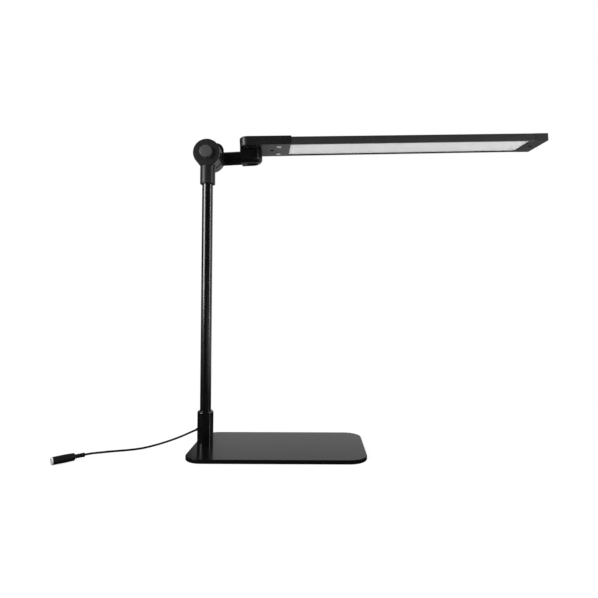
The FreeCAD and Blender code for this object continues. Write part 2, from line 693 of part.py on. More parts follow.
def upper_hinge():
    """Upper hinge half: a barrel on the tilt axis, a leaf with a square shoulder and a root for the arm."""
    leaf_body, leaf = slab("leaf_blank", "0", "leaf_reach", "-leaf_diameter / 2", "leaf_diameter / 2",
                           "leaf_thickness")
    shoulders = edges(leaf, lambda e: runs_along(e, Vector(0, 0, 1)) and lies_at(e, leaf, "XMax"))
    dress(leaf_body, "Fillet", leaf, shoulders, "leaf_corner")
    place(leaf_body, BASE, ("0", UPPER_FACE, "0"), "+Y")
    leaf_disc = cylinder("leaf_disc", "leaf_diameter / 2", "leaf_thickness", ("0", UPPER_FACE, "0"), "+Y")
    radius = "barrel_diameter / 2"
    barrel = turned("barrel", [("0", "0"), (radius, "0"), (radius, "upper_thickness - barrel_edge"),
                               (f"{radius} - barrel_edge", "upper_thickness"), ("0", "upper_thickness")],
                    ("0", UPPER_FACE, "0"), "+Y")
    root = cylinder("arm_root", "rod_diameter / 2", "leaf_reach", ("0", ARM_DEPTH, ROD_LEVEL), "+X")
    spigot = cylinder("root_spigot", "rod_diameter / 2 - rod_wall - seat_gap", f"leaf_reach + {SPIGOT}",
                      ("0", ARM_DEPTH, ROD_LEVEL), "+X")
    bolt_bore = cylinder("upper_bolt_bore", "bolt_diameter / 2 + seat_gap", "2 * upper_thickness",
                         ("0", f"{UPPER_FACE} - overrun", "0"), "+Y")
    head_well = cylinder("upper_head_well", CAP_BORE, f"{UPPER_BACK} - {HEAD_FLOOR} + overrun",
                         ("0", HEAD_FLOOR, "0"), "+Y")
    wire_track = sleeve("upper_wire_track", "wire_radius - wire_bore / 2", "wire_radius + wire_bore / 2",
                        "-overrun", "upper_thickness / 2", ("0", UPPER_FACE, "0"), "+Y")
    wire_bore = cylinder("upper_wire_bore", "wire_bore / 2", f"leaf_reach + {SPIGOT}",
                         ("wire_radius", ARM_DEPTH, ROD_LEVEL), "+X")
    solid = fuse("upper_solid", leaf_body, leaf_disc, barrel, root, spigot)
    piece(cut("upper_hinge", solid, bolt_bore, head_well, wire_track, wire_bore), "upper_hinge", ARM)


def hinge_rear_cap():
    """Low cap over the bolt's head at the back."""
    radius, height = "cap_diameter / 2", "cap_depth + rear_cap_proud - turning_gap"
    bevel = "rear_cap_proud / 2"
    button = turned("rear_cap_turning", [("0", "0"), (radius, "0"), (radius, f"{height} - {bevel}"),
                                         (f"{radius} - {bevel}", height), ("0", height)])
    piece(button, "hinge_rear_cap", ARM, ("0", f"{UPPER_BACK} - cap_depth + turning_gap", "0"), "+Y")


def arm_rod():
    """Short tube between the hinge's root and the knuckle's flat rear."""
    tube = sleeve("rod_tube", "rod_diameter / 2 - rod_wall", "rod_diameter / 2", "leaf_reach + seat_gap",
                  "arm_reach - cup_rear - seat_gap")
    piece(tube, "arm_rod", ARM, ("0", ARM_DEPTH, ROD_LEVEL), "+X")


def knuckle_cup():
    """Swivel cup: flat towards the arm, round at its far end and foot, with a spigot and a well."""
    body, block = slab("cup_blank", "-cup_rear", "cup_front", "-cup_width / 2", "cup_width / 2", "cup_height")
    nose = edges(block, lambda e: runs_along(e, Vector(0, 0, 1)) and lies_at(e, block, "XMax"))
    rounded = dress(body, "Fillet", block, nose, "cup_nose")
    foot = edges(rounded, lambda e: lies_at(e, rounded, "ZMin") and not lies_at(e, rounded, "XMin"))
    dress(body, "Fillet", rounded, foot, "cup_round")
    place(body, BASE, ("0", "0", CUP_FOOT))
    spigot = cylinder("cup_spigot", "rod_diameter / 2 - rod_wall - seat_gap", f"cup_rear + {SPIGOT}",
                      ("0", "0", ROD_LEVEL), "-X")
    bore = cylinder("cup_swivel_bore", "swivel_diameter / 2 + running_gap", "2 * cup_height",
                    ("0", "0", f"{CUP_FOOT} - cup_height / 2"))
    well = cylinder("cup_well", "cup_bore / 2", "cup_ceiling + overrun",
                    ("0", "0", f"{CUP_FOOT} - overrun"))
    recess = cylinder("cup_washer_recess", "washer_diameter / 2 + seat_gap", "washer_thickness + overrun",
                      ("0", "0", "underside - turning_gap - washer_thickness - seat_gap"))
    wire_bore = cylinder("cup_wire_bore", "wire_bore / 2", f"cup_width + {SPIGOT}",
                         ("0", "0", ROD_LEVEL), "-X")
    solid = fuse("cup_solid", body, spigot)
    piece(cut("knuckle_cup", solid, bore, well, recess, wire_bore), "knuckle_cup", KNUCKLE)


def knuckle_plug():
    """Flush plug that closes the cup from below."""
    disc = cylinder("plug_disc", "cup_bore / 2 - seat_gap", "knuckle_plug_thickness")
    piece(disc, "knuckle_plug", KNUCKLE, ("0", "0", f"{CUP_FOOT} + knuckle_plug_recess"))


def swivel_washer():
    """Slip washer between the cup and the head's underside."""
    inner, outer = "swivel_diameter / 2 + free_gap", "washer_diameter / 2"
    ring = sleeve("washer_ring", inner, outer, "0", "washer_thickness")
    piece(ring, "swivel_washer", KNUCKLE, ("0", "0", "underside - turning_gap - washer_thickness"))


# Head

def swivel_spindle():
    """Hollow spindle: a shoulder between cover and profile, a shank through the cup and a riveted top."""
    bore, shank, wide = "swivel_bore / 2", "swivel_diameter / 2", "swivel_shoulder / 2"
    foot, shoulder = f"{SWIVEL_NUT_FOOT} - seat_gap", f"{COVER_TOP} + seat_gap"
    top, crown = f"{WEB_FOOT} - seat_gap", f"{BAR_TOP} - seat_gap"
    blank = turned("spindle_turning", [
        (bore, foot), (shank, foot), (shank, shoulder), (wide, shoulder), (wide, top), (shank, top),
        (shank, crown), (bore, crown)])
    exit_hole = cylinder("spindle_exit", "wire_bore / 2", "swivel_shoulder",
                         ("0", "0", f"({COVER_TOP} + {WEB_FOOT}) / 2"), "+X")
    piece(cut("swivel_spindle", blank, exit_hole), "swivel_spindle", HEAD)


def swivel_spring():
    """Spring washer under the cup's ceiling."""
    ring = sleeve("swivel_spring_ring", "swivel_diameter / 2 + seat_gap", "swivel_spring_diameter / 2", "0",
                  "swivel_spring_thickness")
    piece(ring, "swivel_spring", HEAD, ("0", "0", SWIVEL_SPRING_FOOT))


def swivel_nut():
    """Nut on the spindle's lower end."""
    block = hexagon("swivel_nut_hexagon", "swivel_nut_width", "swivel_nut_height")
    bore = cylinder("swivel_nut_bore", "swivel_diameter / 2 + seat_gap", "3 * swivel_nut_height",
                    ("0", "0", "-swivel_nut_height"))
    piece(cut("swivel_nut", block, bore), "swivel_nut", HEAD, ("0", "0", SWIVEL_NUT_FOOT))


def housing_blank(name, rear, half, corner, low, high):
    """A block with two round corners at its rear, from the rear to the housing's front."""
    body, block = slab(name, f"-({rear})", "housing_front", f"-({half})", half, f"({high}) - ({low})")
    corners = edges(block, lambda e: runs_along(e, Vector(0, 0, 1)) and lies_at(e, block, "XMin"))
    rounded = dress(body, "Fillet", block, corners, corner)
    place(body, BASE, ("0", "0", low))
    return body, rounded


def housing_shell():
    """Moulded shell over the head's rear, open below and in front, with a boss for the cover's screw."""
    blank, rounded = housing_blank("shell_blank", "housing_rear", HOUSING_HALF, "housing_corner",
                                   "underside", HOUSING_TOP)
    top = edges(rounded, lambda e: lies_at(e, rounded, "ZMax") and not lies_at(e, rounded, "XMax"))
    dress(blank, "Fillet", rounded, top, "housing_edge")
    below, ceiling = "underside - overrun", f"{BAR_TOP} + seat_gap"
    inner = f"{HOUSING_HALF} - housing_wall"
    cavity, _ = housing_blank("shell_cavity", "housing_rear - housing_wall", inner,
                              "housing_corner - housing_wall", below, ceiling)
    mouth_half = f"({HALF_WIDTH} + seat_gap)"
    mouth = box("shell_mouth", ("profile_distance - seat_gap", f"-{mouth_half}", below),
                ("housing_front + overrun", mouth_half, ceiling))
    boss_foot = f"{COVER_TOP} + seat_gap"
    boss = cylinder("shell_boss", "boss_diameter / 2", f"{HOUSING_TOP} - housing_rise / 2 - ({boss_foot})",
                    ("cover_screw_place", "0", boss_foot))
    pilot = cylinder("shell_pilot", "cover_screw_thread / 2 + seat_gap", "cover_screw_length",
                     ("cover_screw_place", "0", "underside"))
    shell = fuse("shell_with_boss", cut("shell_hollow", blank, cavity, mouth), boss)
    piece(cut("housing_shell", shell, pilot), "housing_shell", HEAD)


def button_places():
    """The two push buttons: names and sides of the head."""
    return (("button_power", "-button_spread / 2"), ("button_dimmer", "button_spread / 2"))


def board_posts():
    """Places of the four posts under the control board."""
    return [(along, across) for along in ("board_rear + post_inset", "board_front - post_inset")
            for across in ("-post_spread / 2", "post_spread / 2")]


def housing_cover():
    """Bottom cover of the housing, with holes for spindle, screw and buttons and posts for the board."""
    half, rear = f"{HOUSING_HALF} - housing_wall - seat_gap", "housing_wall + seat_gap - housing_rear"
    body, plate = slab("cover_blank", rear, "profile_distance - seat_gap", f"-({half})", half,
                       "cover_thickness")
    corners = edges(plate, lambda e: runs_along(e, Vector(0, 0, 1)) and lies_at(e, plate, "XMin"))
    dress(body, "Fillet", plate, corners, "housing_corner - housing_wall - seat_gap")
    place(body, BASE, ("0", "0", "underside"))
    posts = [cylinder(f"cover_post_{k}", "post_diameter / 2", "cover_thickness / 2 + board_height",
                      (along, across, f"{COVER_TOP} - cover_thickness / 2"))
             for k, (along, across) in enumerate(board_posts(), start=1)]
    spindle_hole = cylinder("cover_spindle_hole", "swivel_diameter / 2 + seat_gap", "3 * cover_thickness",
                            ("0", "0", "underside - cover_thickness"))
    button_holes = [cylinder(f"{name}_hole", "button_diameter / 2 + turning_gap", "3 * cover_thickness",
                             ("button_place", side, "underside - cover_thickness"))
                    for name, side in button_places()]
    seat = screw_seat("cover_screw_hole", "cover_screw", ("cover_screw_place", "0", "underside"))
    solid = fuse("cover_with_posts", body, *posts)
    piece(cut("housing_cover", solid, spindle_hole, seat, *button_holes), "housing_cover", HEAD)


def control_board():
    """Small circuit board on the cover's posts."""
    board = box("board_blank", ("board_rear", "-board_width / 2", f"{BOARD_FOOT} + seat_gap"),
                ("board_front", "board_width / 2", f"{BOARD_FOOT} + seat_gap + board_thickness"))
    piece(compound("control_board", board), "control_board", HEAD)


def switches():
    """Two small push switches under the board, one above each button."""
    top = f"{BOARD_FOOT} + seat_gap"
    bodies = []
    for name, side in button_places():
        case = box(f"{name}_switch_case", ("button_place - switch_width / 2", f"{side} - switch_width / 2",
                                           f"{top} - switch_height"),
                   ("button_place + switch_width / 2", f"{side} + switch_width / 2", top))
        tip = f"{BUTTON_FLANGE_FOOT} + button_flange_height + button_travel * {TRAVEL_SPARE_SHARE}"
        reach = f"{top} - ({tip}) - switch_height / 2"
        plunger = cylinder(f"{name}_plunger", "plunger_diameter / 2", reach, ("button_place", side, tip))
        bodies.append(fuse(f"{name}_switch", case, plunger))
    piece(compound("switches", *bodies), "switches", HEAD)


def buttons():
    """Round push buttons that stand a little below the cover, each with a flange inside it."""
    radius, total = "button_diameter / 2", "button_proud + cover_thickness + seat_gap"
    for name, side in button_places():
        cap = turned(f"{name}_turning", [
            ("0", "0"), (f"{radius} - button_edge", "0"), (radius, "button_edge"), (radius, total),
            ("button_flange / 2", total), ("button_flange / 2", f"{total} + button_flange_height"),
            ("0", f"{total} + button_flange_height")])
        piece(cap, name, HEAD, ("button_place", side, "underside - button_proud"))


def light_profile():
    """Aluminium channel, open below, with lips for the diffuser and a tongue at each end."""
    body = new_body("profile_blank")
    inner, lip = "head_width / 2 - profile_wall", "head_width / 2 - profile_wall - lip_width"
    half_section = [(lip, "0"), (HALF_WIDTH, "0"), (HALF_WIDTH, "bar_height")]
    half_inside = [(lip, "lip_thickness"), (inner, "lip_thickness"), (inner, "bar_height - profile_wall")]
    mirrored = [(f"-({across})", up) for across, up in reversed(half_section)]
    mirrored_inside = [(f"-({across})", up) for across, up in half_inside]
    section = half_section + mirrored + mirrored_inside + half_inside[::-1]
    channel = pad(body, "YZ_Plane", section, "profile_length")
    outer = edges(channel, lambda e: runs_along(e, Vector(1, 0, 0)) and lies_at(e, channel, "ZMax")
                  or runs_along(e, Vector(1, 0, 0)) and lies_at(e, channel, "ZMin")
                  and (lies_at(e, channel, "YMin") or lies_at(e, channel, "YMax")))
    dress(body, "Fillet", channel, outer, "profile_edge")
    place(body, BASE, ("profile_distance", "0", "underside"))
    rear = box("rear_tongue_blank", ("profile_distance - rear_tongue", "-tongue_width / 2", WEB_FOOT),
               ("profile_distance + profile_wall", "tongue_width / 2", BAR_TOP))
    front = box("front_tongue_blank", (f"{PROFILE_END} - profile_wall", "-tongue_width / 2", WEB_FOOT),
                (f"{PROFILE_END} + front_tongue", "tongue_width / 2", f"{BAR_TOP} - profile_wall / 2"))
    spindle_hole = cylinder("tongue_spindle_hole", "swivel_diameter / 2 + seat_gap", "2 * bar_height",
                            ("0", "0", "underside"))
    boss_hole = cylinder("tongue_boss_hole", "boss_diameter / 2 + turning_gap", "2 * bar_height",
                         ("cover_screw_place", "0", "underside"))
    screw_hole = cylinder("tongue_screw_hole", "cap_screw_thread / 2 + seat_gap", "2 * bar_height",
                          ("cap_screw_place", "0", "underside"))
    solid = fuse("profile_solid", body, rear, front)
    piece(cut("light_profile", solid, spindle_hole, boss_hole, screw_hole), "light_profile", HEAD)


def led_board():
    """Narrow metal-backed board under the profile's web."""
    low = ("profile_distance + lip_width", "-led_board_width / 2", f"{LED_BOARD_FOOT} - seat_gap")
    high = (f"{PROFILE_END} - cap_overlap - lip_width", "led_board_width / 2", f"{WEB_FOOT} - seat_gap")
    board = box("led_board_blank", low, high)
    piece(compound("led_board", board), "led_board", HEAD)


def led_chips():
    """Two rows of light-emitting chips along the board, at a steady pitch."""
    size = SIZES
    top = size["underside"] + size["bar_height"] - size["profile_wall"] - size["led_board_thickness"]
    foot = top - size["seat_gap"] - size["led_height"]
    first = size["profile_distance"] + size["led_spacing"]
    last = size["profile_distance"] + size["profile_length"] - size["cap_overlap"] - size["led_spacing"]
    count = round((last - first) / size["led_spacing"])
    step = (last - first) / count
    chips = []
    for k in range(count + 1):
        for side in (-1, 1):
            along = first + k * step - size["led_length"] / 2
            across = side * size["led_row_spread"] / 2 - size["led_width"] / 2
            corner = Vector(along, across, foot)
            chips.append(Part.makeBox(size["led_length"], size["led_width"], size["led_height"], corner))
    group = doc.addObject("Part::Feature", "led_chip_group")
    group.Shape = Part.makeCompound(chips)
    piece(group, "led_chips", HEAD)


def diffuser():
    """Opal plate that lies on the profile's lips, between the cover and the end cap."""
    half, foot = f"{INNER_HALF} - turning_gap", "underside + lip_thickness + seat_gap"
    plate = box("diffuser_plate", ("profile_distance + seat_gap", f"-({half})", foot),
                (f"{PROFILE_END} - cap_overlap - seat_gap", half, f"{foot} + diffuser_thickness"))
    piece(compound("diffuser", plate), "diffuser", HEAD)


def end_cap():
    """Cap over the profile's far end, with a stepped tongue and a slot for the profile's own."""
    start = f"{PROFILE_END} + seat_gap"
    body, block = slab("cap_blank", start, f"{PROFILE_END} + cap_length", f"-{HALF_WIDTH}", HALF_WIDTH,
                       "bar_height")
    corners = edges(block, lambda e: lies_at(e, block, "XMax"))
    dress(body, "Fillet", block, corners, "cap_end_round")
    place(body, BASE, ("0", "0", "underside"))
    inside, root = f"{PROFILE_END} - cap_overlap", f"{start} + cap_root"
    lip_half, wall_half = f"{INNER_HALF} - lip_width - turning_gap", f"{INNER_HALF} - turning_gap"
    step = "underside + lip_thickness + seat_gap"
    lower = box("cap_lower_tongue", (inside, f"-({lip_half})", "underside"),
                (root, lip_half, f"{step} + cap_root"))
    upper = box("cap_upper_tongue", (inside, f"-({wall_half})", step),
                (root, wall_half, "underside + cap_tongue_height"))
    slot_half = "(tongue_width / 2 + turning_gap)"
    slot = box("cap_slot", (f"{PROFILE_END} - overrun", f"-{slot_half}", f"{WEB_FOOT} - seat_gap"),
               (f"{PROFILE_END} + front_tongue + turning_gap", slot_half,
                f"{BAR_TOP} - profile_wall / 2 + seat_gap"))
    seat = screw_seat("cap_screw_hole", "cap_screw", ("cap_screw_place", "0", "underside"))
    piece(cut("end_cap", fuse("cap_solid", body, lower, upper), slot, seat), "end_cap", HEAD)


base_plate()
base_pad()
collar()
collar_plug()
swivel_bush()
screw("collar_screw", BASE, ("0", "0", "pad_thickness"))
cord_grommet()
power_cord()
cord_boot()
connector_body()
connector_ring()
connector_pin()
pole()
pole_ring()
lower_hinge()
neck_screw()
hinge_cap()
friction_washer()
hinge_bolt()
hinge_springs()
hinge_nut()
upper_hinge()
hinge_rear_cap()
arm_rod()
knuckle_cup()
knuckle_plug()
swivel_washer()
swivel_spindle()
swivel_spring()
swivel_nut()
housing_shell()
housing_cover()
screw("cover_screw", HEAD, ("cover_screw_place", "0", "underside"))
control_board()
switches()
buttons()
light_profile()
led_board()
led_chips()
diffuser()
end_cap()
screw("cap_screw", HEAD, ("cap_screw_place", "0", "underside"))
doc.recompute()

# Every object is sound, every cut takes something away and every sub-part is a valid shape
for obj in doc.Objects:
    if {"Invalid", "Error"} & set(obj.State):
        raise RuntimeError(f"{obj.Label} failed: {obj.State}")
    if obj.TypeId == "Part::Cut" and not obj.Shape.Volume < obj.Base.Shape.Volume:
        raise RuntimeError(f"{obj.Label} cuts nothing")
for label, obj in PIECES.items():
    if obj.Shape.isNull() or not obj.Shape.isValid():
        raise RuntimeError(f"{label} has no valid shape")

os.makedirs("parts", exist_ok=True)
for label, obj in PIECES.items():
    obj.Shape.exportStep(f"parts/{label}.step")
    print(f"{label:16s} solids {len(obj.Shape.Solids):3d} volume {obj.Shape.Volume:10.1f}")
print(len(PIECES), "pieces")
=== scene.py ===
# %% [markdown]
# # LED desk lamp
#
# A flat plate carries a slim pole at its left end. A friction hinge on the pole's top tilts a short arm, and
# a swivel knuckle on the arm turns a long light bar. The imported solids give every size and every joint, so
# the first step loads them. What is made below either dresses a solid with a finish or stands for it with a
# finer surface, always in the same place.

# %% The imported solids
import json
from math import cos, hypot, pi, radians, sin

import bmesh
import bpy
from mathutils import Matrix, Vector


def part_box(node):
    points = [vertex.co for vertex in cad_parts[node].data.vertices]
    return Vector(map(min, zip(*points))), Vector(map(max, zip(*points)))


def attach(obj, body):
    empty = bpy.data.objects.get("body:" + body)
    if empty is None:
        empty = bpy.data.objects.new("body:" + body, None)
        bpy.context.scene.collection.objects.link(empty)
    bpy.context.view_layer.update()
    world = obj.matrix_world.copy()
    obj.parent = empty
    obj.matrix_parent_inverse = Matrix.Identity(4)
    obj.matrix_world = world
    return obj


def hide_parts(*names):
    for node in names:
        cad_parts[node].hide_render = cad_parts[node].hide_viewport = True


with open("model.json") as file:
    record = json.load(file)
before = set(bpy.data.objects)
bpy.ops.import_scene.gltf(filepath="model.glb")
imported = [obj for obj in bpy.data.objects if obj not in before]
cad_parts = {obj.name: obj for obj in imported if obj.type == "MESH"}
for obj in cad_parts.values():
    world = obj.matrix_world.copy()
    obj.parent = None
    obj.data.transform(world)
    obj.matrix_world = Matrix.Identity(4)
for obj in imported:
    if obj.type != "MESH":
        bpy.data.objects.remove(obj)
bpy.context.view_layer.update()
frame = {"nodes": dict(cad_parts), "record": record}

scene = bpy.context.scene
scene.view_settings.view_transform = "Standard"
MM = 0.001

# %% [markdown]
# ## The camera
#
# The picture was taken from a little below the middle of the pole, nearly level, with the pole upright. A
# nearly level camera with a small shift keeps uprights parallel, which is how product pictures are framed.
# The place, the lens and the shift come from matching the pole, the plate's corners and the bar's ends.

# %% Camera
lens = bpy.data.cameras.new("lamp_camera")
lens.sensor_width = 36.0
lens.lens = 29.42
lens.shift_x = -0.0154
lens.shift_y = -0.0292
camera = bpy.data.objects.new("lamp_camera", lens)
camera.location = (0.143392, -0.645234, 0.188715)
camera.rotation_euler = (radians(92.641), 0.0, radians(0.788))
scene.collection.objects.link(camera)
scene.camera = camera
print("lens", lens.lens, "mm")

# %% [markdown]
# ## The cord
#
# A thin round lead leaves the collar through a grommet, sinks to the table and bends towards an in-line
# socket. A tube could be swept along straight runs, but a real lead has no corners. A smooth spline that
# takes the route's points as its control points gives one easy line, and a bevel gives it thickness.

# %% Cord
LEAD_RADIUS = 1.3
route = [
    (-12.8, 0.0, 24.2), (-18.5, 0.0, 21.7), (-29.0, -0.2, 16.9), (-42.0, 0.0, 11.9),
    (-55.0, -0.4, 7.6), (-67.5, -0.8, 4.1), (-78.5, -3.0, 1.9), (-88.0, -7.6, 1.4),
    (-99.0, -12.2, 1.4), (-110.0, -15.4, 1.4), (-119.4, -19.6, 1.7), (-126.6, -26.5, 2.65),
    (-130.5, -33.4, 4.05), (-134.21, -39.11, 4.95), (-138.2, -42.9, 4.95),
]
line = bpy.data.curves.new("power_lead", "CURVE")
line.dimensions = "3D"
line.bevel_depth = LEAD_RADIUS * MM
line.bevel_resolution = 5
line.use_fill_caps = True
spline = line.splines.new("NURBS")
spline.points.add(len(route) - 1)
for point, place in zip(spline.points, route):
    point.co = (*(Vector(place) * MM), 1.0)
spline.order_u = 3
spline.use_endpoint_u = True
spline.resolution_u = 10
cord = bpy.data.objects.new("power_lead", line)
scene.collection.objects.link(cord)
print("cord points", len(route))

# %% [markdown]
# ## Shaders as nodes
#
# The backdrop, the table and every finish are small node trees. Drawn by hand they would be quick to make,
# but a script can be read and run again. One helper adds a node and feeds it, and four more stand for what
# the trees use most, so each tree below reads as a short recipe.

# %% Node helpers
WHITE = (1.0, 1.0, 1.0, 1.0)


def node_tree(owner):
    """An empty node tree on a material or the world."""
    owner.use_nodes = True
    owner.node_tree.nodes.clear()
    return owner.node_tree


def add(tree, kind, *feeds, **settings):
    """Adds a node. Its inputs take outputs or values, in order or by name, and the rest are properties."""
    node = tree.nodes.new(kind)
    pairs = list(zip(node.inputs, feeds))
    for key, value in settings.items():
        if key in node.inputs:
            pairs.append((node.inputs[key], value))
        else:
            setattr(node, key, value)
    for socket, value in pairs:
        if isinstance(value, bpy.types.NodeSocket):
            tree.links.new(value, socket)
        else:
            socket.default_value = value
    return node


def maths(tree, operation, *values):
    """The result of one operation on numbers."""
    return add(tree, "ShaderNodeMath", *values, operation=operation).outputs[0]


def length(tree, vector):
    """The length of a vector."""
    return add(tree, "ShaderNodeVectorMath", vector, operation="LENGTH").outputs["Value"]


def ramp(tree, value, start, end, low, high, shape="SMOOTHSTEP"):
    """A level that goes from low to high while a value goes from start to end."""
    node = add(tree, "ShaderNodeMapRange", value, start, end, low, high, interpolation_type=shape)
    return node.outputs["Result"]


def mixed(tree, share, first, second):
    """One shader, or another where the share is 1."""
    return add(tree, "ShaderNodeMixShader", share, first, second).outputs[0]


# %% [markdown]
# ## Backdrop
#
# The lamp stands in front of a white backdrop. Lamps bright enough to make it pure white would also wash
# out the black paint. So the world shows its own white to the camera and gives matt surfaces a plain soft
# light. Shiny surfaces see white behind the lamp, dark on the far left, and a dim room on the camera's side,
# which is what makes black paint look black.

# %% World
SOFT_LIGHT, DIM_ROOM, FULL_WHITE = 0.45, 0.05, 1.0
world = bpy.data.worlds.new("white_studio")
scene.world = world
tree = node_tree(world)
ray = add(tree, "ShaderNodeLightPath").outputs
heading = add(tree, "ShaderNodeTexCoord").outputs["Generated"]
look = add(tree, "ShaderNodeSeparateXYZ", heading).outputs
behind = ramp(tree, look["Y"], start=0.0, end=0.6, low=0.0, high=1.0)
sideways = ramp(tree, look["X"], start=-0.25, end=-0.19, low=0.02, high=0.95)
backdrop = maths(tree, "MULTIPLY_ADD", behind, sideways, DIM_ROOM)
soft_sky, mirror_sky, white_sky = [add(tree, "ShaderNodeBackground", WHITE, strength).outputs[0]
                                   for strength in (SOFT_LIGHT, backdrop, FULL_WHITE)]
lit = mixed(tree, ray["Is Glossy Ray"], soft_sky, mirror_sky)
seen = maths(tree, "MAXIMUM", ray["Is Camera Ray"], ray["Is Transmission Ray"])
add(tree, "ShaderNodeOutputWorld", mixed(tree, seen, lit, white_sky))
print("world", world.name, "with", len(tree.nodes), "nodes")

# %% [markdown]
# ## Table
#
# The table is plain and white, and the lamp's shadow on it is faint. A matt plane under these lamps would
# come out grey. So its shader mixes a matt white, which takes the shadow, with a glow that only the camera
# and shiny surfaces see. Close to the lamp the camera sees a little more of the matt white. For shiny
# surfaces the glow carries painted shade: it is dim close to the lamp and in front of it and grows with
# distance. A painted dark band on its left puts a painted dark reflection on the knuckle's foot and on the
# cover beside the knuckle.

# %% Table
TABLE_HALF = 6.0
bm = bmesh.new()
bmesh.ops.create_grid(bm, x_segments=1, y_segments=1, size=TABLE_HALF)
table = bpy.data.meshes.new("white_table")
bm.to_mesh(table)
bm.free()
floor = bpy.data.objects.new("white_table", table)
scene.collection.objects.link(floor)
print("table", 2 * TABLE_HALF, "m wide")

# %% White of the table
MATT_WHITE = (0.93, 0.93, 0.93, 1.0)
floor_white = bpy.data.materials.new("table_white")
tree = node_tree(floor_white)
ray = add(tree, "ShaderNodeLightPath").outputs
spot = add(tree, "ShaderNodeTexCoord").outputs["Object"]
fade = ramp(tree, length(tree, spot), start=0.25, end=0.9, low=0.86, high=1.0, shape="LINEAR")
shown = maths(tree, "MULTIPLY", ray["Is Camera Ray"], fade)
veil = maths(tree, "MAXIMUM", shown, ray["Is Glossy Ray"])
# Painted shade for shiny surfaces: the glow is dim near the lamp and in front of it, and a painted dark band
# on its left gives the knuckle's foot and the cover beside it a painted dark reflection.
side = add(tree, "ShaderNodeSeparateXYZ", spot).outputs
rear = maths(tree, "MAXIMUM", side["Y"], 0.0)
aside = add(tree, "ShaderNodeCombineXYZ", side["X"], rear).outputs[0]
shade = ramp(tree, length(tree, aside), start=0.3, end=1.1, low=0.05, high=1.0)
painted_left_shade = ramp(tree, side["X"], start=-0.06, end=-0.01, low=0.15, high=1.0)
glow_with_painted_shade = maths(tree, "MULTIPLY", shade, painted_left_shade)
bright = maths(tree, "MAXIMUM", ray["Is Camera Ray"], glow_with_painted_shade)
matt = add(tree, "ShaderNodeBsdfDiffuse", MATT_WHITE).outputs[0]
glow = add(tree, "ShaderNodeEmission", WHITE, bright).outputs[0]
add(tree, "ShaderNodeOutputMaterial", mixed(tree, veil, matt, glow))
table.materials.append(floor_white)
print("floor", floor.name, "with", len(tree.nodes), "nodes")

# %% [markdown]
# ## Lamps
#
# Round black parts show their form by the lines of light on them. One lamp from the front would put the
# line in the middle and flatten the pole, so a tall soft lamp stands on each side, and a large one above
# only lifts the shadows. It is hidden from shiny surfaces, because its reflection would whiten the arm.


# %% Lamps
def soft_lamp(name, place, target, size, power):
    """A large lamp that faces its target."""
    light = bpy.data.lights.new(name, "AREA")
    light.shape = "RECTANGLE"
    light.size, light.size_y = size
    light.energy = power
    obj = bpy.data.objects.new(name, light)
    obj.location = place
    obj.rotation_euler = (Vector(target) - Vector(place)).to_track_quat("-Z", "Y").to_euler()
    scene.collection.objects.link(obj)
    return obj


ceiling = soft_lamp("overhead", place=(0.1, -0.2, 1.6), target=(0.1, 0.0, 0.0), size=(1.6, 1.2), power=12.0)
ceiling.visible_glossy = False
soft_lamp("left_strip", place=(-1.0, -0.72, 0.58), target=(0.0, 0.0, 0.46), size=(0.6, 0.8), power=25.0)
soft_lamp("right_strip", place=(1.35, -0.25, 0.6), target=(0.0, 0.0, 0.4), size=(0.16, 1.1), power=11.0)

# %% [markdown]
# ## Places of the moving parts
#
# The arm is raised a little on the hinge and the head is turned a little on the knuckle. Shapes could be
# drawn in that pose, but then no number in them would be plain. So each moving part has one matrix that
# holds its pose, and its shapes are drawn straight, in millimetres, and carried to their place by it.

# %% Frames of the moving parts
HINGE_HEIGHT, ARM_RAISED = 389.6, 2.8
KNUCKLE_REACH, ARM_DEPTH, ROD_LEVEL = 56.9, 19.6, -1.75
HEAD_TURNED, UNDERSIDE = 6.6, 7.65
BASE = Matrix.Identity(4)
HINGE = Matrix.Translation((0.0, 0.0, HINGE_HEIGHT * MM))
ARM = HINGE @ Matrix.Rotation(radians(ARM_RAISED), 4, (0.0, -1.0, 0.0))
KNUCKLE = ARM @ Matrix.Translation((KNUCKLE_REACH * MM, ARM_DEPTH * MM, 0.0))
HEAD = KNUCKLE @ Matrix.Rotation(radians(HEAD_TURNED), 4, "Z")
print("knuckle at", [round(value, 4) for value in KNUCKLE.translation])

# %% [markdown]
# ## Finishes
#
# Black parts look alike from far away and differ up close: powder paint has a fine orange peel, anodised
# aluminium has drawn lines along the bar, moulded plastic has a spark-eroded grain and rubber is dull. Each
# finish is one shader whose colour, roughness and bump follow noise at the real size of that grain. Noise
# on Object coordinates needs no unwrapping and keeps its scale from piece to piece.

# %% A grained finish
MICRON = 0.000001
EVEN, UNTURNED = (1.0, 1.0, 1.0), (0.0, 0.0, 0.0)
CLOUD_SIZE = 40.0
DARK_STOP, PALE_STOP = 0.3, 0.7


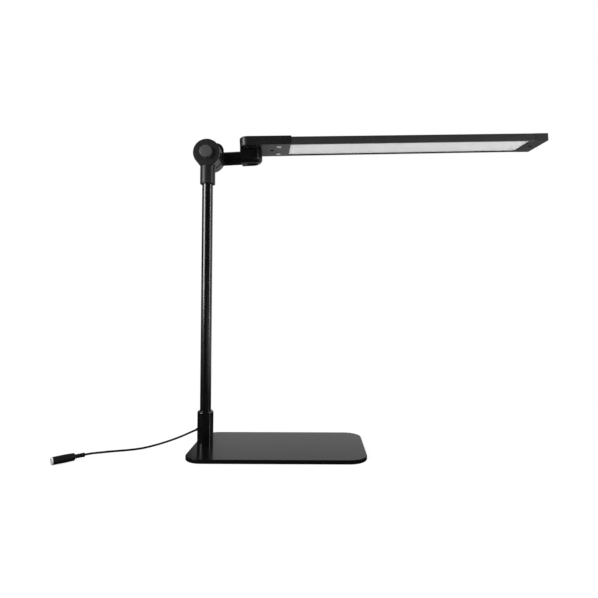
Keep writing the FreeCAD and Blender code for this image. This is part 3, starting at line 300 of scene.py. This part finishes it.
def grained(name, dark, pale, rough, grain, height, stretch=EVEN, turn=UNTURNED, **sockets):
    """A finish with so many grains to a metre: two near colours, a range of roughness, a shallow bump."""
    material = bpy.data.materials.new(name)
    tree = node_tree(material)
    place = add(tree, "ShaderNodeTexCoord").outputs["Object"]
    turned = add(tree, "ShaderNodeMapping", place, vector_type="TEXTURE", Scale=stretch, Rotation=turn)
    laid = turned.outputs[0]
    fine = add(tree, "ShaderNodeTexNoise", laid, Scale=grain, Detail=3.0, Roughness=0.6)
    broad = add(tree, "ShaderNodeTexNoise", laid, Scale=grain / CLOUD_SIZE, Detail=4.0, Roughness=0.55)
    clouds = broad.outputs["Fac"]
    tint = add(tree, "ShaderNodeValToRGB", clouds)
    for stop, place_on, colour in zip(tint.color_ramp.elements, (DARK_STOP, PALE_STOP), (dark, pale)):
        stop.position = place_on
        stop.color = (*colour, 1.0)
    relief = add(tree, "ShaderNodeBump", Strength=1.0, Distance=height, Height=fine.outputs["Fac"])
    feeds = {key.replace("_", " "): value for key, value in sockets.items()}
    feeds["Base Color"] = tint.outputs["Color"]
    feeds["Roughness"] = ramp(tree, clouds, 0.0, 1.0, *rough, "LINEAR")
    feeds["Normal"] = relief.outputs["Normal"]
    shader = add(tree, "ShaderNodeBsdfPrincipled", **feeds)
    add(tree, "ShaderNodeOutputMaterial", shader.outputs[0])
    return material


def grey(level):
    """A neutral colour."""
    return (level, level, level)


# %% [markdown]
# ### Paint and metal
#
# The plate has a smooth semi-gloss paint that mirrors the collar. The pole and collar are painted satin,
# the cast hinge halves have a matt powder coat, the arm is duller, and the bar is drawn aluminium,
# blackened, with fine lines along its length. Low specular levels keep these blacks deep under a bright
# room. Small blackened screws mirror nothing, and the socket's nickel is rubbed dull, so it stays pale from
# every side.

# %% Paints and metals
along_bar = HEAD.to_euler()
finishes = {
    "black_painted_steel": grained("plate_paint", grey(0.002), grey(0.003), (0.18, 0.24), 1500.0,
                                   3 * MICRON, Specular_IOR_Level=0.05),
    "satin_black": grained("satin_paint", grey(0.0012), grey(0.002), (0.18, 0.24), 2200.0, 1 * MICRON,
                           Specular_IOR_Level=0.45),
    "cast_black": grained("powder_coat", grey(0.007), grey(0.009), (0.34, 0.42), 2600.0, 4 * MICRON,
                          Specular_IOR_Level=0.19),
    "arm_black": grained("dull_paint", grey(0.002), grey(0.003), (0.22, 0.28), 2400.0, 2 * MICRON,
                         Specular_IOR_Level=0.18),
    "black_anodised": grained("anodised_bar", grey(0.013), grey(0.020), (0.30, 0.42), 3000.0, 4 * MICRON,
                              stretch=(60.0, 1.0, 1.0), turn=along_bar, Specular_IOR_Level=0.25),
    "bare_aluminium": grained("turned_aluminium", grey(0.62), grey(0.72), (0.25, 0.4), 900.0, 10 * MICRON,
                              stretch=(8.0, 8.0, 0.3), Metallic=1.0),
    "steel": grained("zinc_steel", grey(0.42), grey(0.54), (0.25, 0.45), 1200.0, 6 * MICRON, Metallic=1.0),
    "black_steel": grained("blackened_steel", grey(0.002), grey(0.004), (0.3, 0.45), 1800.0, 6 * MICRON,
                           Specular_IOR_Level=0.0),
    "bright_metal": grained("bright_nickel", grey(0.72), grey(0.80), (0.50, 0.60), 1800.0, 3 * MICRON,
                            Metallic=0.8),
}
print("paints and metals", len(finishes))

# %% [markdown]
# ### Plastics and rubber
#
# The housing is moulded with a fine grain, the cap in the hinge and the two buttons are smoother and a
# little paler, and the lead is soft and dull. The diffuser is opal acrylic: nearly white, with a satin
# face that spreads the light of the chips behind it. At the end, every solid gets the finish of its slot.

# %% Plastics and rubber
finishes |= {
    "housing_plastic": grained("housing_grain", grey(0.005), grey(0.008), (0.28, 0.34), 3200.0, 3 * MICRON,
                               Specular_IOR_Level=0.22),
    "matt_plastic": grained("end_cap_grain", grey(0.014), grey(0.018), (0.55, 0.65), 3200.0, 10 * MICRON,
                            Specular_IOR_Level=0.1),
    "plug_plastic": grained("plug_black", grey(0.005), grey(0.007), (0.45, 0.55), 3000.0, 8 * MICRON,
                            Specular_IOR_Level=0.03),
    "cover_plastic": grained("cover_black", grey(0.006), grey(0.009), (0.22, 0.32), 3000.0, 6 * MICRON,
                             Specular_IOR_Level=0.08),
    "cap_plastic": grained("cap_black", grey(0.030), grey(0.037), (0.34, 0.44), 2400.0, 8 * MICRON,
                           Specular_IOR_Level=0.3),
    "button_plastic": grained("button_grey", grey(0.24), grey(0.30), (0.3, 0.4), 2600.0, 8 * MICRON),
    "switch_plastic": grained("switch_black", grey(0.03), grey(0.05), (0.5, 0.6), 2000.0, 10 * MICRON),
    "circuit_board": grained("solder_resist", (0.02, 0.11, 0.04), (0.04, 0.17, 0.07), (0.25, 0.4), 700.0,
                             20 * MICRON),
    "white_board": grained("white_resist", grey(0.70), grey(0.78), (0.3, 0.45), 1200.0, 10 * MICRON),
    "chip_white": grained("phosphor", (0.75, 0.62, 0.2), (0.85, 0.72, 0.3), (0.25, 0.4), 2400.0,
                          10 * MICRON),
    "opal_white": grained("opal_acrylic", grey(0.52), grey(0.56), (0.35, 0.45), 2800.0, 6 * MICRON,
                          Specular_IOR_Level=0.3),
    "white_nylon": grained("nylon", grey(0.70), grey(0.78), (0.4, 0.55), 1500.0, 8 * MICRON),
    "black_rubber": grained("lead_rubber", grey(0.003), grey(0.005), (0.42, 0.55), 2600.0, 10 * MICRON,
                            Specular_IOR_Level=0.12),
    "black_foam": grained("pad_foam", grey(0.010), grey(0.018), (0.8, 0.95), 1800.0, 80 * MICRON),
}
slot_of = {part["node"]: part["material_slot"] for part in frame["record"]["subparts"]}
for node, obj in frame["nodes"].items():
    for slot in obj.material_slots:
        slot.material = finishes[slot_of[node]]
print("finishes", len(finishes), "slots used", len(set(slot_of.values())))

# %% [markdown]
# ## Turned and cut shapes
#
# Nearly every part of the lamp is turned on a lathe or cut from plate, tube or bar. A lathe's part is one
# outline spun round an axis, and a cut part is one flat outline raised to a height. Both leave sharp
# corners, and real edges never are, so each corner of an outline carries the radius that it is broken by.
# A large round gets more steps than a broken edge, and a corner that is hidden or meets another piece stays
# sharp.

# %% Places and edges
ALONG = {
    "+Z": Matrix.Identity(4),
    "-Z": Matrix.Rotation(pi, 4, "X"),
    "+Y": Matrix.Rotation(-pi / 2, 4, "X"),
    "-Y": Matrix.Rotation(pi / 2, 4, "X"),
    "+X": Matrix.Rotation(pi / 2, 4, "Y"),
}
CLOSE, WELD = 0.02 * MM, 0.002 * MM
SHARP, CRISP, BROKEN, EASED, LARGE_ROUND = 0, 0.2, 0.3, 0.4, 2.0
EDGE_STEPS, ROUND_STEPS, CORNER_STEPS = 3, 8, 12


def spot_in(part, at, along="+Z"):
    """The place of a shape: a point of a part's frame, in millimetres, and the way its own axis looks."""
    return part @ Matrix.Translation(Vector(at) * MM) @ ALONG[along]


def as_mesh(bm, place):
    """Puts a finished shape in its place and gives it as a mesh."""
    bmesh.ops.recalc_face_normals(bm, faces=bm.faces)
    bmesh.ops.transform(bm, matrix=place, verts=bm.verts)
    mesh = bpy.data.meshes.new("shape")
    bm.to_mesh(mesh)
    bm.free()
    return mesh


def rounded(bm, picked, radius, steps, affect):
    """Rounds some edges or corners by a radius in millimetres."""
    bmesh.ops.bevel(bm, geom=picked, offset=radius * MM, offset_type="OFFSET", segments=steps, profile=0.5,
                    affect=affect, material=-1, clamp_overlap=True)


def break_edges(bm, picked, radius):
    """Breaks some edges, in more steps where the radius is large."""
    rounded(bm, picked, radius, EDGE_STEPS if radius < LARGE_ROUND else ROUND_STEPS, "EDGES")


# %% [markdown]
# ### One finished piece
#
# A piece stands for one solid: it takes that solid's place, rides the same body, so that it moves with the
# joint, and has the same finish. Flat shading would show the facets of round parts and smooth shading would
# smear the flat ones. So faces are smooth, sharp edges stay sharp, and normals lean towards the larger
# faces.

# %% One finished piece
SHARP_ANGLE = 40.0


def made(name, node, body, *shapes):
    """Joins shapes into one piece that stands for a solid, rides its body and takes its finish."""
    bm = bmesh.new()
    for shape in shapes:
        bm.from_mesh(shape)
        bpy.data.meshes.remove(shape)
    mesh = bpy.data.meshes.new(name)
    bm.to_mesh(mesh)
    bm.free()
    mesh.shade_smooth()
    mesh.set_sharp_from_angle(angle=radians(SHARP_ANGLE))
    mesh.materials.append(finishes[slot_of[node]])
    obj = bpy.data.objects.new(name, mesh)
    scene.collection.objects.link(obj)
    even = obj.modifiers.new("even_normals", "WEIGHTED_NORMAL")
    even.keep_sharp = True
    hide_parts(node)
    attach(obj, body)
    low, high = [[round(value, 4) for value in corner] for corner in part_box(node)]
    print(f"{name}: {len(mesh.polygons)} faces, solid {low} to {high}")
    return obj


# %% [markdown]
# ## Base plate
#
# The plate is cut from thick steel sheet and its rim is ground round before painting, so a thin light line
# runs along it. A block with all its edges bevelled would get the same radius everywhere. So the outline is
# drawn flat, its four corners are rounded, it is raised, and its two rims are broken last.


# %% The saw
def plate(outline, low, high, place, low_edge=SHARP, high_edge=SHARP, bare=None):
    """Raises a flat outline of x, y and corner radius, and rounds its rims except at the bare end's x."""
    bm = bmesh.new()
    spots = [bm.verts.new((x * MM, y * MM, low * MM)) for x, y, _ in outline]
    bm.faces.new(spots)
    for spot, (_, _, corner) in zip(spots, outline):
        if corner:
            rounded(bm, [spot], corner, CORNER_STEPS, "VERTICES")
    raised = bmesh.ops.extrude_face_region(bm, geom=list(bm.faces))
    lifted = [item for item in raised["geom"] if isinstance(item, bmesh.types.BMVert)]
    bmesh.ops.translate(bm, verts=lifted, vec=(0.0, 0.0, (high - low) * MM))
    bmesh.ops.recalc_face_normals(bm, faces=bm.faces)
    for level, edge in ((low, low_edge), (high, high_edge)):
        if edge:
            rim = [e for e in bm.edges if all(abs(v.co.z - level * MM) < CLOSE for v in e.verts)]
            picked = [e for e in rim
                      if bare is None or any(abs(v.co.x - bare * MM) > CLOSE for v in e.verts)]
            break_edges(bm, picked, edge)
    return as_mesh(bm, place)


# %% Base plate
PLATE_LEFT, PLATE_RIGHT, PLATE_FRONT, PLATE_BACK = -15.2, 206.9, -60.8, 66
PLATE_LOW, PLATE_TOP, PLATE_CORNER, PLATE_RIM = 0.4, 5.0, 23, 0.8
plate_corners = [(PLATE_LEFT, PLATE_FRONT), (PLATE_RIGHT, PLATE_FRONT),
                 (PLATE_RIGHT, PLATE_BACK), (PLATE_LEFT, PLATE_BACK)]
made("base_plate_smooth", "base_plate", "base",
     plate([(x, y, PLATE_CORNER) for x, y in plate_corners], PLATE_LOW, PLATE_TOP, BASE,
           low_edge=EASED, high_edge=PLATE_RIM))

# %% [markdown]
# ## Collar
#
# The collar is a turned sleeve with a short cone at its top, where the pole comes out. A stack of cylinders
# and a cone would leave seams between them. One outline that is spun right round its axis has none, and it
# is the way the real part is made.

# %% The lathe
TURNED_STEPS, FINE_STEPS, SMALL_STEPS = 96, 128, 48


def on_ring(vert, radius, height):
    """Tells whether a vertex lies on the ring that one corner of the outline makes."""
    return abs(hypot(vert.co.x, vert.co.y) - radius * MM) < CLOSE and abs(vert.co.z - height * MM) < CLOSE


def lathe(outline, place, closed=False, steps=TURNED_STEPS):
    """Spins an outline of radius, height and edge radius round its own axis."""
    bm = bmesh.new()
    spots = [bm.verts.new((radius * MM, 0.0, height * MM)) for radius, height, _ in outline]
    pairs = list(zip(spots, spots[1:])) + ([(spots[-1], spots[0])] if closed else [])
    sides = [bm.edges.new(pair) for pair in pairs]
    bmesh.ops.spin(bm, geom=spots + sides, cent=(0.0, 0.0, 0.0), axis=(0.0, 0.0, 1.0), angle=2 * pi,
                   steps=steps, use_merge=True, use_normal_flip=False, use_duplicate=False)
    bmesh.ops.remove_doubles(bm, verts=bm.verts, dist=WELD)
    bmesh.ops.recalc_face_normals(bm, faces=bm.faces)
    for radius, height, edge in outline:
        if edge:
            picked = [e for e in bm.edges if all(on_ring(v, radius, height) for v in e.verts)]
            break_edges(bm, picked, edge)
    return as_mesh(bm, place)


# %% Collar
COLLAR_RADIUS, COLLAR_HEIGHT, CONE_FOOT, CONE_RADIUS = 10.35, 44.6, 43.0, 9.3
COLLAR_BORE, MOUTH_RADIUS, MOUTH_FOOT = 8.3, 7.4, 40.05
made("collar_smooth", "collar", "base",
     lathe([(COLLAR_BORE, 0, SHARP), (COLLAR_RADIUS, 0, CRISP), (COLLAR_RADIUS, CONE_FOOT, EASED),
            (CONE_RADIUS, COLLAR_HEIGHT, BROKEN), (MOUTH_RADIUS, COLLAR_HEIGHT, CRISP),
            (MOUTH_RADIUS, MOUTH_FOOT, SHARP), (COLLAR_BORE, MOUTH_FOOT, SHARP)],
           spot_in(BASE, (0, 0, PLATE_TOP)), closed=True))

# %% [markdown]
# ## Pole
#
# A straight painted tube. A plain cylinder would do, but a real tube is hollow and its ends are cut and
# broken, so it is turned too. It shows long lines of light, so it gets many sides and smooth shading.


# %% Pole
def tube(inside, radius, low, high, place, steps=TURNED_STEPS):
    """A tube between two heights, with its outer rims broken."""
    return lathe([(inside, low, SHARP), (radius, low, CRISP), (radius, high, CRISP), (inside, high, SHARP)],
                 place, closed=True, steps=steps)


POLE_RADIUS, POLE_INSIDE, POLE_FOOT, POLE_HEAD = 7.1, 5.9, 26.9, 370.6
made("pole_smooth", "pole", "mast",
     tube(POLE_INSIDE, POLE_RADIUS, POLE_FOOT, POLE_HEAD, BASE, steps=FINE_STEPS))

# %% [markdown]
# ## Lower hinge half
#
# A thick disc on the tilt axis and a round neck that the pole plugs into. On the real lamp the two are one
# casting. They could be fused with a boolean, but two turned shapes that run into each other give the same
# outline and cleaner faces. The cap in its middle stands proud and has a faintly crowned face.

# %% Lower hinge half
DISC_RADIUS, DISC_HALF, DISC_FACE, DISC_CHAMFER = 18.1, 10, 17.2, 9.1
NECK_RADIUS, NECK_LENGTH, NECK_ROUND, NECK_BORE, BORE_FLOOR = 9.95, 41, 0.6, 7.15, 19
made("lower_hinge_smooth", "lower_hinge", "mast",
     lathe([(0, -DISC_HALF, SHARP), (DISC_FACE, -DISC_HALF, BROKEN), (DISC_RADIUS, -DISC_CHAMFER, BROKEN),
            (DISC_RADIUS, DISC_HALF, BROKEN), (0, DISC_HALF, SHARP)],
           spot_in(HINGE, (0, 0, 0), "+Y"), steps=FINE_STEPS),
     lathe([(0, 0, SHARP), (NECK_RADIUS, 0, SHARP), (NECK_RADIUS, NECK_LENGTH, NECK_ROUND),
            (NECK_BORE, NECK_LENGTH, CRISP), (NECK_BORE, BORE_FLOOR, SHARP), (0, BORE_FLOOR, SHARP)],
           spot_in(HINGE, (0, 0, 0), "-Z")))

# %% Hinge cap
CAP_RADIUS, CAP_SEAT, CAP_SIDE, CAP_ROUND, CAP_HEIGHT = 8.1, -8, 7.7, 0.7, 8
CROWN_RADIUS, CROWN_FOOT = 5.0, 7.95
made("hinge_cap_smooth", "hinge_cap", "mast",
     lathe([(0, 0, SHARP), (CAP_RADIUS, 0, SHARP), (CAP_RADIUS, CAP_SIDE, CAP_ROUND),
            (CROWN_RADIUS, CROWN_FOOT, SHARP), (0, CAP_HEIGHT, SHARP)],
           spot_in(HINGE, (0, CAP_SEAT, 0), "-Y")))

# %% [markdown]
# ## Upper hinge half and arm
#
# The upper half is a barrel behind the disc, with a leaf that points along the arm and a round root for the
# arm's tube. The leaf is squared above and follows the barrel below. It is cut from plate, because a spun
# shape has no square corner, and the rest is turned.


# %% Upper hinge half
def puck(radius, low, high, place, low_edge=SHARP, high_edge=SHARP, steps=TURNED_STEPS):
    """A plain round piece between two heights, with its rims broken."""
    return lathe([(0, low, SHARP), (radius, low, low_edge), (radius, high, high_edge), (0, high, SHARP)],
                 place, steps=steps)


BARREL_FRONT, BARREL_RADIUS, BARREL_LENGTH, BARREL_ROUND = 10.4, 18.2, 18.4, 1.6
RECESS_RADIUS, RECESS_FLOOR, ROD_RADIUS = 8.15, 16.4, 9.1
LEAF_REACH, LEAF_CORNER, LOWER_REACH, LOWER_CORNER, LEAF_THICK = 19.3, 10, 18.9, 18.0, 3.6
barrel = spot_in(ARM, (0, BARREL_FRONT, 0), "+Y")
rod = spot_in(ARM, (0, ARM_DEPTH, ROD_LEVEL), "+X")
made("upper_hinge_smooth", "upper_hinge", "arm",
     plate([(0, -BARREL_RADIUS, SHARP), (LEAF_REACH, -BARREL_RADIUS, LEAF_CORNER),
            (LOWER_REACH, BARREL_RADIUS, LOWER_CORNER), (0, BARREL_RADIUS, SHARP)],
           0, LEAF_THICK, barrel, low_edge=BROKEN, high_edge=EASED),
     lathe([(0, 0, SHARP), (BARREL_RADIUS, 0, BROKEN), (BARREL_RADIUS, BARREL_LENGTH, BARREL_ROUND),
            (RECESS_RADIUS, BARREL_LENGTH, CRISP), (RECESS_RADIUS, RECESS_FLOOR, SHARP),
            (0, RECESS_FLOOR, SHARP)], barrel, steps=FINE_STEPS),
     puck(ROD_RADIUS, 0, LEAF_REACH, rod, high_edge=BROKEN))

# %% Arm rod and rear cap
ROD_INSIDE, ROD_START, ROD_END = 7.1, 19.35, 42.35
REAR_CAP_SEAT, REAR_CAP_HEIGHT = 26.9, 2.7
made("arm_rod_smooth", "arm_rod", "arm", tube(ROD_INSIDE, ROD_RADIUS, ROD_START, ROD_END, rod))
made("hinge_rear_cap_smooth", "hinge_rear_cap", "arm",
     puck(CAP_RADIUS, 0, REAR_CAP_HEIGHT, spot_in(ARM, (0, REAR_CAP_SEAT, 0), "+Y"), high_edge=EASED))

# %% [markdown]
# ## Swivel knuckle
#
# A block below the head, flat towards the arm, round at its far end and round below. Its outline is cut as
# a plate, and one large bevel of the lower rim makes the round foot, so no curve has to be worked out. The
# rim towards the arm stays sharp. A bore from below takes the swivel's nut, and a plug closes it from inside
# the bore. A boolean cuts the bore, because a plate's outline has no holes.


# %% The drill
def bored(shape, drill):
    """Cuts one shape out of another and gives what is left."""
    whole, tool = [bpy.data.objects.new("bored", mesh) for mesh in (shape, drill)]
    for obj in (whole, tool):
        scene.collection.objects.link(obj)
    hole = whole.modifiers.new("hole", "BOOLEAN")
    hole.operation = "DIFFERENCE"
    hole.object = tool
    rest = bpy.data.meshes.new_from_object(whole.evaluated_get(bpy.context.evaluated_depsgraph_get()))
    for obj in (whole, tool):
        bpy.data.objects.remove(obj)
    for mesh in (shape, drill):
        bpy.data.meshes.remove(mesh)
    return rest


# %% Knuckle
CUP_RADIUS, CUP_BACK, CUP_TOP, CUP_FOOT, FOOT_ROUND = 14, -14.5, 7.35, -10.85, 6.0
WELL_RADIUS, WELL_DEPTH, OVERRUN = 7.7, 3.6, 1
PLUG_RADIUS, PLUG_DEPTH, PLUG_HEIGHT = 7.65, 1.2, 2.4
NOSE_STEPS = 32
turns = [pi * step / NOSE_STEPS for step in range(-NOSE_STEPS // 2, NOSE_STEPS // 2 + 1)]
nose = [(CUP_RADIUS * cos(turn), CUP_RADIUS * sin(turn), SHARP) for turn in turns]
block = plate([(CUP_BACK, -CUP_RADIUS, SHARP), *nose, (CUP_BACK, CUP_RADIUS, SHARP)], CUP_FOOT, CUP_TOP,
              KNUCKLE, low_edge=FOOT_ROUND, bare=CUP_BACK)
well = puck(WELL_RADIUS, -OVERRUN, WELL_DEPTH, spot_in(KNUCKLE, (0, 0, CUP_FOOT)))
made("knuckle_cup_smooth", "knuckle_cup", "arm", bored(block, well))
made("knuckle_plug_smooth", "knuckle_plug", "arm",
     puck(PLUG_RADIUS, 0, PLUG_HEIGHT, spot_in(KNUCKLE, (0, 0, CUP_FOOT + PLUG_DEPTH)), low_edge=BROKEN))

# %% [markdown]
# ## Housing
#
# The housing is a moulded shell, open below and towards the bar. A solid block could be hollowed out, but a
# wall with a horseshoe outline and a flat roof on it are two plain plates, and only the roof's upper rim
# needs a large round.

# %% Housing shell
HOUSING_END, HOUSING_BACK, HOUSING_HALF, HOUSING_ROUND, WALL = 53.5, -15.8, 26.2, 11, 2.0
WALL_HEIGHT, HOUSING_HEIGHT, ROOF_ROUND = 9.95, 12.6, 2.4
inside_back, inside_half, inside_round = HOUSING_BACK + WALL, HOUSING_HALF - WALL, HOUSING_ROUND - WALL
roof, top = UNDERSIDE + WALL_HEIGHT, UNDERSIDE + HOUSING_HEIGHT
start = (HOUSING_END, -HOUSING_HALF, SHARP)
inside = [(HOUSING_END, -inside_half, SHARP), (inside_back, -inside_half, inside_round),
          (inside_back, inside_half, inside_round), (HOUSING_END, inside_half, SHARP)]
outside = [(HOUSING_END, HOUSING_HALF, SHARP), (HOUSING_BACK, HOUSING_HALF, HOUSING_ROUND),
           (HOUSING_BACK, -HOUSING_HALF, HOUSING_ROUND)]
made("housing_smooth", "housing_shell", "head",
     plate([start, *inside, *outside], UNDERSIDE, roof, HEAD, low_edge=BROKEN),
     plate([start, *outside], roof, top, HEAD, high_edge=ROOF_ROUND, bare=HOUSING_END))

# %% [markdown]
# ## Light bar
#
# The bar is an aluminium channel with lips that hold the diffuser, one section drawn out along its length.
# The section is cut as a plate as thick as the bar is long, so the lips and the channel come in one go. It
# stands upright, so the shape's own axis is turned along the bar.

# %% Light profile
BAR_HALF, BAR_HEIGHT, BAR_EDGE, CUT_EDGE = 26.0, 10.5, 0.5, 0.1
LIP_END, LIP_THICK, CHANNEL_HALF, CHANNEL_TOP = 23.0, 1.65, 24.4, 8.9
BAR_START, BAR_END = 52.0, 398.0
section = [(LIP_END, 0, SHARP), (BAR_HALF, 0, BAR_EDGE), (BAR_HALF, BAR_HEIGHT, BAR_EDGE),
           (-BAR_HALF, BAR_HEIGHT, BAR_EDGE), (-BAR_HALF, 0, BAR_EDGE), (-LIP_END, 0, SHARP),
           (-LIP_END, LIP_THICK, SHARP), (-CHANNEL_HALF, LIP_THICK, SHARP),
           (-CHANNEL_HALF, CHANNEL_TOP, SHARP), (CHANNEL_HALF, CHANNEL_TOP, SHARP),
           (CHANNEL_HALF, LIP_THICK, SHARP), (LIP_END, LIP_THICK, SHARP)]
upright = Matrix(((0.0, 0.0, 1.0, 0.0), (1.0, 0.0, 0.0, 0.0), (0.0, 1.0, 0.0, 0.0), (0.0, 0.0, 0.0, 1.0)))
made("light_profile_smooth", "light_profile", "head",
     plate(section, BAR_START, BAR_END, spot_in(HEAD, (0, 0, UNDERSIDE)) @ upright,
           low_edge=CUT_EDGE, high_edge=CUT_EDGE))

# %% [markdown]
# ## Buttons
#
# Two small round buttons stand a little out of the cover, each with a flange inside that keeps it there.
# One mesh could serve twice, but a finished piece carries its place in its mesh, so a loop turns the same
# outline at two places. Each rides a body of its own, because it is pressed alone.

# %% Buttons
BUTTON_RADIUS, BUTTON_CROWN, BUTTON_ROUND, BUTTON_HEIGHT = 3.2, 0.15, 0.6, 3.85
FLANGE_RADIUS, FLANGE_FOOT = 4.2, 2.85
BUTTON_ALONG, BUTTON_ACROSS, BUTTON_PROUD = 37, 15.4, 0.8
for node, body, across in (("button_power", "power_key", -BUTTON_ACROSS),
                           ("button_dimmer", "dimmer_key", BUTTON_ACROSS)):
    made(f"{node}_smooth", node, body,
         lathe([(0, 0, SHARP), (BUTTON_RADIUS, BUTTON_CROWN, BUTTON_ROUND),
                (BUTTON_RADIUS, FLANGE_FOOT, SHARP), (FLANGE_RADIUS, FLANGE_FOOT, CRISP),
                (FLANGE_RADIUS, BUTTON_HEIGHT, CRISP), (0, BUTTON_HEIGHT, SHARP)],
               spot_in(HEAD, (BUTTON_ALONG, across, UNDERSIDE - BUTTON_PROUD)), steps=SMALL_STEPS))

# %% [markdown]
# ## In-line socket
#
# The lead ends in a moulded socket: a ribbed boot, a barrel that swells in its middle and a bright ring
# round the well, with a pin inside. Ribs could be separate rings, but they are moulded in one with the boot,
# so each piece is one turned outline along the lead's last direction. A grommet at the lead's other end
# takes it out of the collar.


# %% Ends of the lead
def facing(place, towards):
    """The place of a shape at a point of the route, with its own axis along a direction."""
    return Matrix.Translation(Vector(place) * MM) @ towards.to_track_quat("Z", "Y").to_matrix().to_4x4()


socket_end = facing(route[-1], Vector(route[-1]) - Vector(route[-2]))
collar_exit = facing(route[0], Vector(route[1]) - Vector(route[0]))
print("socket starts at", [round(value, 4) for value in socket_end.translation])

# %% Boot
BOOT_RADIUS, BOOT_LENGTH, LIP_RADIUS, LIP_WIDTH = 2.6, 11.6, 2.7, 0.93
GROOVE_RADIUS, GROOVE_WIDTH, GROOVE_EDGE = 2.03, 0.93, 0.15
GROOVE_ENDS = (3.25, 6.03, 8.82)
ribs = [(0, 0, SHARP), (LIP_RADIUS, 0, EASED), (LIP_RADIUS, LIP_WIDTH, BROKEN)]
for end in GROOVE_ENDS:
    begin = end - GROOVE_WIDTH
    ribs += [(BOOT_RADIUS, begin, GROOVE_EDGE), (GROOVE_RADIUS, begin, GROOVE_EDGE),
             (GROOVE_RADIUS, end, GROOVE_EDGE), (BOOT_RADIUS, end, GROOVE_EDGE)]
boot = made("cord_boot_smooth", "cord_boot", "base",
            lathe([*ribs, (BOOT_RADIUS, BOOT_LENGTH, SHARP), (0, BOOT_LENGTH, SHARP)], socket_end,
                  steps=SMALL_STEPS))

# %% Barrel of the socket
SOCKET_STEPS = 64
SOCKET_RADIUS, SOCKET_LENGTH, SOCKET_BORE, BORE_DEPTH = 4.65, 24.6, 2.8, 15.1
SHOULDER_RADIUS, SHOULDER_ROUND = 4.45, 1.0
SWELL_RADIUS, SWELL_AT, SWELL_ROUND = 4.85, 10.33, 3.0
FRONT_AT, FRONT_ROUND = 21.16, 1.2
socket = made("connector_body_smooth", "connector_body", "base",
              lathe([(0, 0, SHARP), (SHOULDER_RADIUS, 0, SHOULDER_ROUND),
                     (SWELL_RADIUS, SWELL_AT, SWELL_ROUND), (SOCKET_RADIUS, FRONT_AT, FRONT_ROUND),
                     (SOCKET_RADIUS, SOCKET_LENGTH, CRISP), (SOCKET_BORE, SOCKET_LENGTH, CRISP),
                     (SOCKET_BORE, BORE_DEPTH, SHARP), (0, BORE_DEPTH, SHARP)],
                    spot_in(socket_end, (0, 0, BOOT_LENGTH)), steps=SOCKET_STEPS))

# %% Ring, pin and grommet
RING_LENGTH = 1.4
PIN_RADIUS, PIN_LENGTH, PIN_ROUND, PIN_STEPS = 1.05, 9.5, 0.5, 32
GROMMET_RADIUS, GROMMET_LENGTH, TIP_RADIUS, TIP_LENGTH = 1.9, 5, 1.5, 2.6
ring = made("connector_ring_smooth", "connector_ring", "base",
            lathe([(SOCKET_BORE, 0, SHARP), (SOCKET_RADIUS, 0, SHARP), (SOCKET_RADIUS, RING_LENGTH, EASED),
                   (SOCKET_BORE, RING_LENGTH, CRISP)],
                  spot_in(socket_end, (0, 0, BOOT_LENGTH + SOCKET_LENGTH)), closed=True, steps=SOCKET_STEPS))
pin = made("connector_pin_smooth", "connector_pin", "base",
           puck(PIN_RADIUS, 0, PIN_LENGTH, spot_in(socket_end, (0, 0, BOOT_LENGTH + BORE_DEPTH)),
                high_edge=PIN_ROUND, steps=PIN_STEPS))
made("cord_grommet_smooth", "cord_grommet", "base",
     lathe([(0, -GROMMET_LENGTH, SHARP), (GROMMET_RADIUS, -GROMMET_LENGTH, SHARP),
            (GROMMET_RADIUS, -TIP_LENGTH, BROKEN), (TIP_RADIUS, 0, BROKEN), (0, 0, SHARP)],
           collar_exit, steps=SMALL_STEPS))

# %% [markdown]
# ## The cord's finish
#
# The lead is soft, and a mesh alone doesn't say so. The picture shows the whole lead, from the collar to its
# socket, so that is its length. It takes the rubber finish, the imported cord is hidden, and the lead
# belongs to the base, and the socket's pieces go with it.

# %% Cord's finish and body
line.materials.append(finishes["black_rubber"])
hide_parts("power_cord")
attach(cord, "base")
